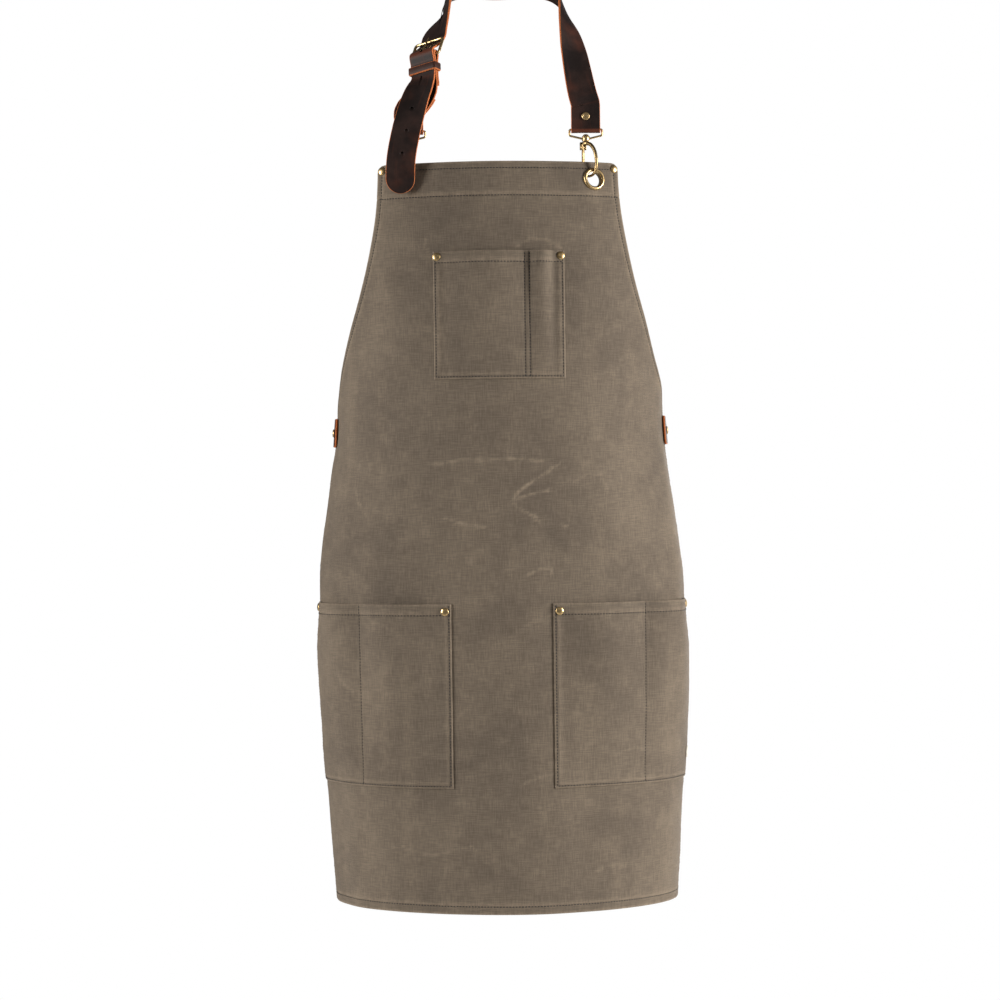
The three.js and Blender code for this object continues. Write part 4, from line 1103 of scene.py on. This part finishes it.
def gate_shape():
    lever = block((PIN_ACROSS - 1.3, -1.2, PIN_DOWN - 27.1), (PIN_ACROSS + 1.3, 1.2, PIN_DOWN + 0.3), 0.5)
    pivot = Matrix.Translation((PIN_ACROSS, 0, PIN_DOWN))
    bore = PIN_RADIUS + GAP
    knuckle = [(bore, -1.2), (1.8, -1.2), (2.0, -1.0), (2.0, 1.0), (1.8, 1.2), (bore, 1.2)]
    return joined(lever, turned(knuckle + knuckle[:1], pivot, 32))


def pin_shape():
    pivot = Matrix.Translation((PIN_ACROSS, 0, PIN_DOWN))
    head = [(0.02, -3.3), (1.1, -3.25), (1.5, -3.0), (1.5, -2.85), (PIN_RADIUS, -2.85)]
    return turned(head + [(radius, -y) for radius, y in reversed(head)], pivot, 32)


for side, sign in SIDES:
    centre = Vector((sign * HOOK_BAR.x, HOOK_BAR.y, HOOK_BAR.z - EYE_DROP))
    across = Vector((sign * math.sin(HOOK_YAW), -math.cos(HOOK_YAW), 0))
    up = Vector((0, 0, 1))
    hook_frame = frame_of(centre, across, up)
    wire_eye = placed(eye_shape(), Matrix.Translation(centre))
    cast_hook, lever, pin = (placed(shape(), hook_frame) for shape in (hook_shape, gate_shape, pin_shape))
    add_metal(f"wire_eye_{side}", wire_eye, [f"hook_eye_{side}"], f"eye_{side}")
    add_metal(f"cast_hook_{side}", cast_hook, [f"hook_body_{side}"], f"hook_{side}", DARK_BRASS)
    add_metal(f"gate_lever_{side}", lever, [f"hook_gate_{side}"], f"gate_{side}", DARK_BRASS)
    add_metal(f"gate_rivet_{side}", pin, [f"gate_pin_{side}"], f"hook_{side}")

# ------------------------------------------------------------------------------------------------
# Neck strap: one long strip of oiled, pull-up bridle leather with raw, burnished edges.  It is folded
# and riveted round the right hook's eye, goes behind the neck, through the buckle, and hangs free.
# It is hung ready for wear, so its middle rests on the nape of the neck.

LEATHER = 2.4
LAYER = LEATHER / 2 + GAP / 2  # from the middle of a folded strap to each layer
FOLD_LENGTH, FOLD_RIVET, FOLD_CLOSED = 27.0, 14.0, 11.0
FOLD_GRIP = 2 * LEATHER + GAP
BUCKLE_WIRE, BUCKLE_LENGTH, BUCKLE_CLEARANCE, PRONG_WIRE = 1.6, 22.0, 1.2, 1.0
UNDER_BAR = BUCKLE_WIRE + GAP + LEATHER / 2 + 1.1
OVER_BAR = BUCKLE_WIRE + GAP + LEATHER + GAP + LEATHER / 2 + 0.8
FREE_LIFT = 3 * LAYER + 0.4  # from a fold's middle plane to the middle of the free strap over it
HOLE_PITCH, HOLE_RADIUS, HOLE_COUNT = 25.0, 2.2, 4
VERTICAL = Vector((0, 0, 1))
FORWARD = Vector((0, -1, 0))


def in_frame(place, x, y, z):
    return place @ Vector((x, y, z))


def axis_of(place, index):
    return place.to_3x3().col[index].copy()


def route_sections(stations, per_span=12):
    """Sections of a strap along a smooth route through stations of (point, outward direction)."""
    middles = [point for point, _ in stations]
    outs = [out.normalized() for _, out in stations]
    sections = []
    for t in spread(0.0, 1.0, (len(stations) - 1) * per_span):
        along = (catmull(middles, t + 1e-4) - catmull(middles, t - 1e-4)).normalized()
        out = catmull(outs, t, powers=False)
        out = (out - along * out.dot(along)).normalized()
        sections.append((catmull(middles, t), out.cross(along).normalized(), out))
    return sections


def wrap_radius(bar):
    return bar + GAP + LEATHER / 2


WRAP_STEPS = 24


def wrap_sections(place, radius, start, end):
    """Sections that follow a bar from one angle to another about it."""
    sections = []
    for degrees in spread(start, end, WRAP_STEPS):
        angle = math.radians(degrees)
        out = axis_of(place, 1) * math.cos(angle) + axis_of(place, 2) * math.sin(angle)
        sections.append((place.translation + out * radius, axis_of(place, 0), out))
    return sections


def layer_offset(bar, distance):
    """Distance of a folded layer from the fold's middle plane: wide at the bar, then closed."""
    return wrap_radius(bar) + (LAYER - wrap_radius(bar)) * smooth(distance / FOLD_CLOSED)


def layer_sections(place, bar, face, distances):
    sections = []
    for distance in distances:
        middle = in_frame(place, 0, face * layer_offset(bar, abs(distance)), distance)
        sections.append((middle, axis_of(place, 0) * face, axis_of(place, 1) * face))
    return sections


def aligned(sections):
    """Turns every section so that the directions across agree along the whole strap."""
    turned_sections = [sections[0]]
    for middle, across, out in sections[1:]:
        if across.dot(turned_sections[-1][1]) < 0:
            across = -across
        turned_sections.append((middle, across, out))
    return turned_sections


def with_round_end(sections):
    """Adds sections close together over the last stretch, for the half circle at the strap's end."""
    last = sections[-1]
    whole = [section for section in sections if (section[0] - last[0]).length > STRAP_WIDTH / 2 + 3]
    start = whole[-1]
    shares = [math.sin(t * math.pi / 2) for t in spread(0.04, 1.0, 22)]
    return whole + [(start[0].lerp(last[0], share), last[1], last[2]) for share in shares]


def round_width(sections):
    end = sections[-1][0]
    widths = []
    for middle, _, _ in sections:
        distance = (middle - end).length
        radius = STRAP_WIDTH / 2
        inside = max(radius ** 2 - max(radius - distance, 0) ** 2, 0)
        widths.append(max(2 * math.sqrt(inside), 3.0))
    return widths


EDGE_ROUND = 0.75
FACE_COLUMNS = 26


def strap_ring(half):
    """Outline of a strap's section as (across, out, rawness): flat faces and burnished round edges."""
    flat = half - EDGE_ROUND
    thick = LEATHER / 2
    face = [(x, thick, 0.0) for x in spread(-flat, flat, FACE_COLUMNS)]
    corner = []
    for angle in spread(math.radians(90), 0.0, 4)[1:]:
        across, out = flat + EDGE_ROUND * math.cos(angle), thick - EDGE_ROUND + EDGE_ROUND * math.sin(angle)
        corner.append((across, out, smooth((across - flat) / (EDGE_ROUND * 0.7))))
    edge = corner + [(x, -y, raw) for x, y, raw in reversed(corner)]
    return face + edge + [(-x, -y, raw) for x, y, raw in face] + [(-x, -y, raw) for x, y, raw in edge]


def leather_piece(name, points, faces, body, flats, raws, pulls):
    """A piece of strap leather with the marks that its finish reads."""
    piece = add_piece(name, points, faces, body)
    mark_flat(piece, flats)
    mark_points(piece, "raw", raws)
    mark_points(piece, "pull", pulls)
    face_outward(piece.data)
    piece.data.materials.append(BRIDLE)
    return piece


def strap_piece(name, sections, cutters, replaced, widths=None):
    """A leather strap through its sections, with its holes and slots punched."""
    points, flats, raws, pulls = [], [], [], []
    walked = 0.0
    for k, (middle, across, out) in enumerate(sections):
        before, after = sections[max(k - 1, 0)], sections[min(k + 1, len(sections) - 1)]
        walked += (middle - before[0]).length
        run = (after[0] - before[0]).length
        bend = clamp((after[2] - before[2]).length / max(run, 0.5) * 9.0 - 0.25)
        half = (widths[k] if widths else STRAP_WIDTH) / 2
        end_on = k in (0, len(sections) - 1)
        for x, y, raw in strap_ring(half):
            shrink = 0.8 if end_on else 1.0
            wave = 0.22 * noise.noise(middle * 0.05 + Vector((x * 0.05, y, 3.0)))
            points.append(middle + across * x + out * (y * shrink + wave))
            flats.append((x, walked))
            raws.append(1.0 if end_on else raw)
            pulls.append(bend)
    faces = ring_faces(len(sections), len(points) // len(sections))
    piece = leather_piece(name, points, faces, "root", flats, raws, pulls)
    punch(piece, joined(*cutters))
    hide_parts(*replaced)


def punch(piece, cutter_shape):
    """Cuts holes and slots through a strap; their walls are raw leather."""
    mesh = bpy.data.meshes.new("punch")
    mesh.from_pydata([tuple(point * MM) for point in cutter_shape[0]], [], cutter_shape[1])
    cutter = scene_object("punch", mesh)
    face_outward(mesh)
    mark_points(cutter, "raw", [1.0] * len(mesh.vertices))
    mesh.materials.append(BRIDLE)
    cutting = piece.modifiers.new("punch", "BOOLEAN")
    cutting.object = cutter
    cutting.operation = "DIFFERENCE"
    cutting.solver = "EXACT"
    bpy.context.view_layer.update()
    evaluated = piece.evaluated_get(bpy.context.evaluated_depsgraph_get())
    piece.data = bpy.data.meshes.new_from_object(evaluated)
    piece.modifiers.clear()
    bpy.data.objects.remove(cutter)


BORER_SIDES = 24
BORER_REACH = 4.0  # to each side of the strap's middle


def borer(place):
    """A cutter for an adjusting hole through a strap."""
    count = BORER_SIDES
    profile = [(0.001, -BORER_REACH), (HOLE_RADIUS, -BORER_REACH)]
    profile += [(HOLE_RADIUS, BORER_REACH), (0.001, BORER_REACH)]
    points, faces = turned(profile, place, count)
    ends = [tuple(range(count)), tuple(range(2 * count - 1, count - 1, -1))]
    return points[count:-count], faces[count:-count] + ends


def hole_frames(sections, first):
    """Frames for the adjusting holes, at equal steps up from the end of a strap."""
    frames = []
    walked = 0.0
    for here, ahead in zip(reversed(sections), reversed(sections[:-1])):
        length = (here[0] - ahead[0]).length
        while len(frames) < HOLE_COUNT and walked + length >= first + HOLE_PITCH * len(frames):
            t = (first + HOLE_PITCH * len(frames) - walked) / length
            frames.append(frame_at(here[0].lerp(ahead[0], t), ahead[0] - here[0], ahead[2]))
        walked += length
    return frames


# Oiled leather: near black, with a red-brown that shows where it has been bent, and a fine grain.
HIDE_DARK = paint(24, 16, 14)
HIDE_BODY = paint(44, 30, 26)
HIDE_RED = paint(98, 52, 36)
HIDE_RAW = paint(206, 120, 68)

hide = Finish("oiled_bridle_leather")
hide_flat = hide.flat()
hide_place = hide.place()
raw = hide.mark("raw")
pull = hide.mark("pull")
hide_patches = hide.mottle(hide_place, 34.0, 4.0, 0.6)
hide_streaks = hide.mottle(hide.stretched(hide_flat, 220.0, 18.0), 1.0, 3.0)
pores = hide.node("TexVoronoi", {"feature": "DISTANCE_TO_EDGE"}, {"Vector": hide_place, "Scale": 950.0})
pebbles = pores.above(0.0, 0.25)
wrinkles = hide.mottle(hide_place, 420.0, 4.0, 0.65)
hide_colour = hide.mix(hide_patches.above(0.35, 0.7), HIDE_DARK, HIDE_BODY)
redness = hide.mottle(hide_place, 21.0, 3.0).above(0.5, 0.76) * 0.42 + pull * 0.6
hide_colour = hide.mix(redness.math("MINIMUM", 0.85), hide_colour, HIDE_RED)
hide_colour = hide.mix(hide_streaks.above(0.55, 0.8) * 0.25, hide_colour, HIDE_RED)
fibres = hide.mottle(hide_place, 800.0, 3.0, 0.7)
raw_colour = hide.mix(fibres.above(0.3, 0.7), paint(158, 84, 48), HIDE_RAW)
hide_colour = hide.mix(raw * (0.7 + fibres * 0.5), hide_colour, raw_colour)
grain = hide.bump(pebbles * 0.4 + wrinkles, 0.35, 0.00009)
BRIDLE = hide.surface({
    "Base Color": hide_colour,
    "Roughness": 0.44 + hide_patches * 0.2 - pull * 0.1 + raw * 0.12,
    "Specular IOR Level": 0.15,
    "Normal": hide.bump(hide_streaks, 0.15, 0.0002, grain),
})

right_fold = frame_at(HOOK_BAR, VERTICAL, FORWARD)
left_fold = frame_at(Vector((-HOOK_BAR.x, HOOK_BAR.y, HOOK_BAR.z)), VERTICAL, FORWARD)

NECK_HEEL = Vector((-76.5, -116, -97))  # middle of the neck buckle's heel bar
HEEL_ACROSS = Vector((-0.815, 0.56, -0.153)).normalized()


def heel_frame(along):
    up = (along - HEEL_ACROSS * along.dot(HEEL_ACROSS)).normalized()
    return frame_of(NECK_HEEL, HEEL_ACROSS, up)


neck_buckle = heel_frame(Vector((0.296, 0.488, 0.822)))
billet = heel_frame(Vector((0.12, 0.1, 0.98)))


def station(x, y, z, *out):
    return Vector((x, y, z)), Vector(out)


def framed(place, y, z, lean=0.0):
    return in_frame(place, 0, y, z), axis_of(place, 1) + axis_of(place, 2) * lean


def through_buckle(place, lead):
    """Stations where the free strap passes under the outer bar and over the heel bar."""
    return [
        framed(place, -UNDER_BAR, BUCKLE_LENGTH + lead),
        framed(place, -UNDER_BAR, BUCKLE_LENGTH + 2, 0.1),
        framed(place, (OVER_BAR - UNDER_BAR) / 2, BUCKLE_LENGTH / 2, 0.42),
        framed(place, OVER_BAR, 0, 0.3),
    ]


neck_route = [
    framed(right_fold, LAYER, FOLD_LENGTH),
    station(90.8, -121.5, -137, 0.12, -0.98, 0.1),
    station(83.5, -109, -94, 0.42, -0.85, 0.3),
    station(78, -93, -61, 0.75, -0.55, 0.35),
    station(73, -72, -37, 0.92, -0.1, 0.36),
    station(66, -50, -19, 0.85, 0.3, 0.42),
    station(53, -25, -6, 0.65, 0.62, 0.44),
    station(32, -6, 0, 0.35, 0.83, 0.44),
    station(0, LEATHER / 2, 0, 0, 1, 0.1),
    station(-30, -7, 0, -0.35, 0.83, 0.44),
    station(-47, -27, -7, -0.65, 0.62, 0.44),
    station(-53, -52, -20, -0.85, 0.3, 0.42),
    station(-53.5, -76, -38, -0.92, -0.1, 0.36),
    *through_buckle(neck_buckle, 16),
    framed(billet, FREE_LIFT, -9),
    framed(billet, FREE_LIFT, -24),
    station(-81.4, -129.4, -130, -0.46, -0.86, 0.2),
    station(-86.1, -132.8, -142, -0.34, -0.92, 0.15),
    station(-92, -136.5, -161, -0.2, -0.97, 0.05),
    station(-98, -139, -185, -0.12, -0.99, 0),
    station(-102.5, -140, -211, -0.05, -1, 0),
    station(-103.6, -139, -245.5, 0, -1, 0),
]
SPARE_HOLE = 12  # the station with a spare hole, just above the buckle
NECK_FIRST_HOLE = 34.0  # from the strap's end
fold_steps = spread(1.5, FOLD_LENGTH - 1, 16)
neck_sections = aligned([
    *layer_sections(right_fold, EYE_WIRE, -1, reversed(fold_steps)),
    *wrap_sections(right_fold, wrap_radius(EYE_WIRE), 180, 360),
    *layer_sections(right_fold, EYE_WIRE, 1, fold_steps),
    *route_sections(neck_route),
])
neck_sections = with_round_end(neck_sections)


def prong_slot(place):
    """A cutter for the slot that the prong passes through in the free strap."""
    return placed(block((-2, -9, 0.08 * BUCKLE_LENGTH - 1.6), (2, 17, 13.2), 0.9), place)


def bar_slot(place):
    """A cutter for the slot where a strap is folded round the buckle's heel bar."""
    return placed(block((-2.5, -7, -6), (2.5, 7, 6), 1.0), place)


face_lift = LAYER + LEATHER / 2  # from a fold's middle plane to its face


def fold_rivet(name, place, distance, dished=False):
    """A rivet through both layers of a fold, at a distance along it."""
    seat = frame_at(in_frame(place, 0, face_lift, distance), axis_of(place, 2), axis_of(place, 1))
    add_rivet(name, seat, FOLD_GRIP, dished)


neck_cutters = [borer(place) for place in hole_frames(neck_sections, NECK_FIRST_HOLE)]
spare_point, spare_out = neck_route[SPARE_HOLE]
neck_cutters.append(borer(frame_at(spare_point, Vector((-0.2, -0.7, -0.6)), spare_out)))
neck_cutters.append(prong_slot(neck_buckle))
neck_widths = round_width(neck_sections)
strap_piece("neck_bridle", neck_sections, neck_cutters, ["neck_strap"], neck_widths)
fold_rivet("rivet_neck_fold", right_fold, FOLD_RIVET, dished=True)

# ------------------------------------------------------------------------------------------------
# Billet: a folded strip of the same leather that holds the left hook's eye at its foot and the
# buckle at its head, closed by two rivets that the hanging end of the neck strap covers.

billet_middle = route_sections([
    framed(left_fold, 0, 12),
    framed(left_fold, 0, 20),
    framed(billet, 0, -38),
    framed(billet, 0, -26),
    framed(billet, 0, -12),
], 8)


def billet_layer(face):
    return [(middle + out * (face * LAYER), across, out * face) for middle, across, out in billet_middle]


near = spread(1.5, 9.5, 5)
half_way = len(billet_middle) // 2
billet_sections = aligned([
    *reversed(billet_layer(-1)[:half_way]),
    *layer_sections(left_fold, EYE_WIRE, -1, reversed(near)),
    *wrap_sections(left_fold, wrap_radius(EYE_WIRE), 180, 360),
    *layer_sections(left_fold, EYE_WIRE, 1, near),
    *billet_layer(1),
    *layer_sections(billet, BUCKLE_WIRE, 1, [-step for step in reversed(near)]),
    *wrap_sections(billet, wrap_radius(BUCKLE_WIRE), 0, 180),
    *layer_sections(billet, BUCKLE_WIRE, -1, [-step for step in near]),
    *reversed(billet_layer(-1)[half_way + 2:]),
])
strap_piece("billet", billet_sections, [bar_slot(billet)], ["buckle_billet"])
fold_rivet("rivet_billet_low", left_fold, FOLD_RIVET)
fold_rivet("rivet_billet_high", billet, -33)

# ------------------------------------------------------------------------------------------------
# Buckles: a round wire frame with a heel bar, and a prong that turns on it and rests on the outer bar.
# Each has a leather keeper, a narrow band glued into a loop, that slides on the folded end.

KEEPER_HEIGHT, KEEPER_DROP, KEEPER_WALL = 9.0, 15.0, 1.8


def buckle_shape():
    half = STRAP_WIDTH / 2 + BUCKLE_CLEARANCE + BUCKLE_WIRE
    outline = [(-half, 0), (half, 0), (half, BUCKLE_LENGTH), (-half, BUCKLE_LENGTH)]
    path = rounded_loop(outline, 3.6, 9)
    return swept(path, lambda t: BUCKLE_WIRE, closed=True)


def prong_shape():
    loop = BUCKLE_WIRE + GAP + PRONG_WIRE
    ring = [Vector((0, loop * math.cos(a), loop * math.sin(a))) for a in spread(0, 2 * math.pi, 32)[:-1]]
    stations = [Vector((0, loop, 1.2)), Vector((0, loop + 1.6, 3)), Vector((0, loop + 1.6, 12))]
    stations.append(Vector((0, loop, BUCKLE_LENGTH + 3)))
    path = [catmull(stations, t) for t in spread(0.0, 1.0, 30)]
    blade = swept(path, lambda t: PRONG_WIRE * (1.1 - 0.35 * smooth((t - 0.7) / 0.3)))
    return joined(swept(ring, lambda t: PRONG_WIRE, closed=True), blade)


def keeper_piece(name, place, body, replaced):
    """A rounded band round a stack of leather, from one face of the fold to over the free end."""
    low, high = -face_lift - GAP, FREE_LIFT + LEATHER / 2 + GAP
    across = STRAP_WIDTH / 2 + GAP + 0.4
    outline = [(-across, low), (across, low), (across, high), (-across, high)]
    points, raws, flats, loops = [], [], [], []
    lower = [(0.0, -1.0), (0.5, -1.0), (1.4, -0.9), (KEEPER_WALL, -0.7)]
    inset = lower + [(wall, -rise) for wall, rise in reversed(lower)]
    for wall, rise in inset:
        grown = [
            (x + math.copysign(wall, x), y + math.copysign(wall, y - (low + high) / 2)) for x, y in outline
        ]
        flat_loop = rounded_loop(grown, 1.2 + wall, 5)
        loops.append([Vector((point.x, point.z, rise * KEEPER_HEIGHT / 2)) for point in flat_loop])
    size = len(loops[0])
    for (wall, rise), loop in zip(inset, loops):
        points += [place @ point for point in loop]
        raws += [1.0 if 0.2 < wall < 1.6 else 0.0] * size
        flats += [(point.x + point.y, point.z) for point in loop]
    faces = ring_faces(len(loops), size, closed=True)
    pulls = [0.25] * len(points)
    piece = leather_piece(name, points, faces, body, flats, raws, pulls)
    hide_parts(replaced)


def add_buckle(prefix, place, keeper_place):
    for part, shape in (("frame", buckle_shape()), ("prong", prong_shape())):
        replaced = [f"{prefix}_buckle_{part}"]
        add_metal(f"{prefix}_wire_{part}", placed(shape, place), replaced, f"{prefix}_{part}")
    keeper_piece(f"{prefix}_loop_keeper", keeper_place, f"{prefix}_loop", f"{prefix}_keeper")


add_buckle("neck", neck_buckle, billet @ Matrix.Translation((0, 0, -KEEPER_DROP)))

# ------------------------------------------------------------------------------------------------
# Waist straps: two strips of the same leather, each riveted by one end to a side hem.  The right one
# is long, passes the buckle behind the back and ends free; the left one is folded round the buckle.

BACK_DEPTH = 90.0  # how far the wearer's back lies behind the sides
TAB_STANDOFF = 1.5
WAIST_FOLD = 38.0
WAIST_FIRST_HOLE = 30.0
waist_side = WAIST_FRONT + WAIST_DEPTH
strap_lift = CLOTH + TAB_STANDOFF + LEATHER / 2


def on_back(degrees, lift):
    """Station on the wearer's back, at an angle from the right side."""
    angle = math.radians(degrees)
    out = Vector((BACK_DEPTH * math.cos(angle), WAIST_HALF * math.sin(angle), 0)).normalized()
    behind = waist_side + BACK_DEPTH * math.sin(angle)
    return Vector((WAIST_HALF * math.cos(angle), behind, WAIST_STRAP_HEIGHT)) + out * lift, out


def side_stations(sign):
    """Stations over the side hem, from the strap's raw front edge backwards."""
    stations = []
    for inset in (22, 14, 6):
        place = cloth_frame(sign * (HALF_WIDTH - inset), WAIST_STRAP_HEIGHT, strap_lift)
        stations.append((place.translation.copy(), axis_of(place, 1)))
    return stations


waist_heel = Vector((-BUCKLE_LENGTH / 2, waist_side + BACK_DEPTH + strap_lift + 1.5, WAIST_STRAP_HEIGHT))
waist_buckle = frame_at(waist_heel, Vector((1, 0, 0)), Vector((0, 1, 0)))

free_sections = aligned(route_sections([
    *side_stations(1),
    *[on_back(degrees, strap_lift) for degrees in (8, 24, 40, 56, 72)],
    *through_buckle(waist_buckle, 14),
    framed(waist_buckle, FREE_LIFT, -9),
    framed(waist_buckle, FREE_LIFT, -24),
    framed(waist_buckle, 3 * LAYER + 3.2, -33),
    on_back(110, strap_lift + 9.5),
    on_back(122, strap_lift + 10.5),
]))
free_sections = with_round_end(free_sections)
free_cutters = [borer(place) for place in hole_frames(free_sections, WAIST_FIRST_HOLE)]
free_cutters.append(prong_slot(waist_buckle))
free_widths = round_width(free_sections)
strap_piece("waist_bridle_free", free_sections, free_cutters, ["waist_strap_right"], free_widths)

waist_steps = [-step for step in spread(1.5, WAIST_FOLD / 2 + 8, 16)]
held_sections = aligned([
    *route_sections([
        *side_stations(-1),
        *[on_back(180 - degrees, strap_lift) for degrees in (8, 24, 40, 56, 68)],
        framed(waist_buckle, LAYER, -WAIST_FOLD - 3),
    ]),
    *layer_sections(waist_buckle, BUCKLE_WIRE, 1, reversed(waist_steps)),
    *wrap_sections(waist_buckle, wrap_radius(BUCKLE_WIRE), 0, 180),
    *layer_sections(waist_buckle, BUCKLE_WIRE, -1, waist_steps + [-WAIST_FOLD]),
])
strap_piece("waist_bridle_held", held_sections, [bar_slot(waist_buckle)], ["waist_strap_left"])
fold_rivet("rivet_waist_fold", waist_buckle, 5 - WAIST_FOLD, dished=True)
for side, sign in SIDES:
    lift = CLOTH + TAB_STANDOFF + LEATHER
    seat = cloth_frame(sign * WAIST_RIVET_S, WAIST_STRAP_HEIGHT, lift)
    add_rivet(f"rivet_waist_{side}", seat, lift, dished=True)
add_buckle("waist", waist_buckle, waist_buckle @ Matrix.Translation((0, 0, -KEEPER_DROP)))

# ------------------------------------------------------------------------------------------------
# Studio: a pale floor well below the hem, a white surround, strong soft lamps at both sides, a faint
# one high in front and one behind.

FLOOR_HEIGHT = -1.5
FLOOR_RADIUS = 1.5
floor_mesh = bpy.data.meshes.new("studio_floor")
floor_shape = bmesh.new()
bmesh.ops.create_circle(floor_shape, cap_ends=True, segments=96, radius=FLOOR_RADIUS)
bmesh.ops.translate(floor_shape, verts=floor_shape.verts, vec=(0, 0, FLOOR_HEIGHT))
floor_shape.to_mesh(floor_mesh)
floor_shape.free()
floor = scene_object("studio_floor", floor_mesh)
FLOOR = Finish("pale_floor")
floor_tone = FLOOR.mottle(FLOOR.place(), 3.0)
floor.data.materials.append(FLOOR.surface({
    "Base Color": FLOOR.mix(floor_tone, paint(228, 228, 226), paint(238, 238, 236)),
    "Roughness": 0.8,
}))

world = bpy.data.worlds.new("studio")
bpy.context.scene.world = world
SKY_FILL = 0.13
sky = Finish("studio", world)
seen = sky.node("LightPath", {}, {}, "Is Camera Ray")
white = sky.node("Background", {}, {"Color": (1, 1, 1, 1), "Strength": 1.0})
fill = sky.node("Background", {}, {"Color": (0.97, 0.98, 1.0, 1), "Strength": SKY_FILL})
sky.node("OutputWorld", {}, {"Surface": sky.node("MixShader", {}, {0: seen, 1: fill, 2: white})})


def softbox(name, place, aim, size, power):
    lamp = bpy.data.lights.new(name, "AREA")
    lamp.shape = "RECTANGLE"
    lamp.size, lamp.size_y = size
    lamp.energy = power
    lamp.color = (1.0, 0.98, 0.95)
    box = scene_object(name, lamp)
    box.location = place
    box.rotation_euler = (Vector(aim) - Vector(place)).to_track_quat("-Z", "Y").to_euler()


softbox("softbox_right", (2.6, -1.0, -0.25), (0, -0.05, -0.6), (0.9, 1.5), 130)
softbox("softbox_left", (-2.6, -0.98, -0.25), (0, -0.05, -0.6), (0.9, 1.5), 92)
softbox("softbox_front", (0.2, -2.7, 0.6), (0, -0.1, -0.6), (1.2, 0.8), 3)
softbox("softbox_back", (0.9, 2.2, -0.6), (0, 0, -0.5), (1.6, 1.6), 38)
bpy.context.scene.view_settings.view_transform = "Standard"
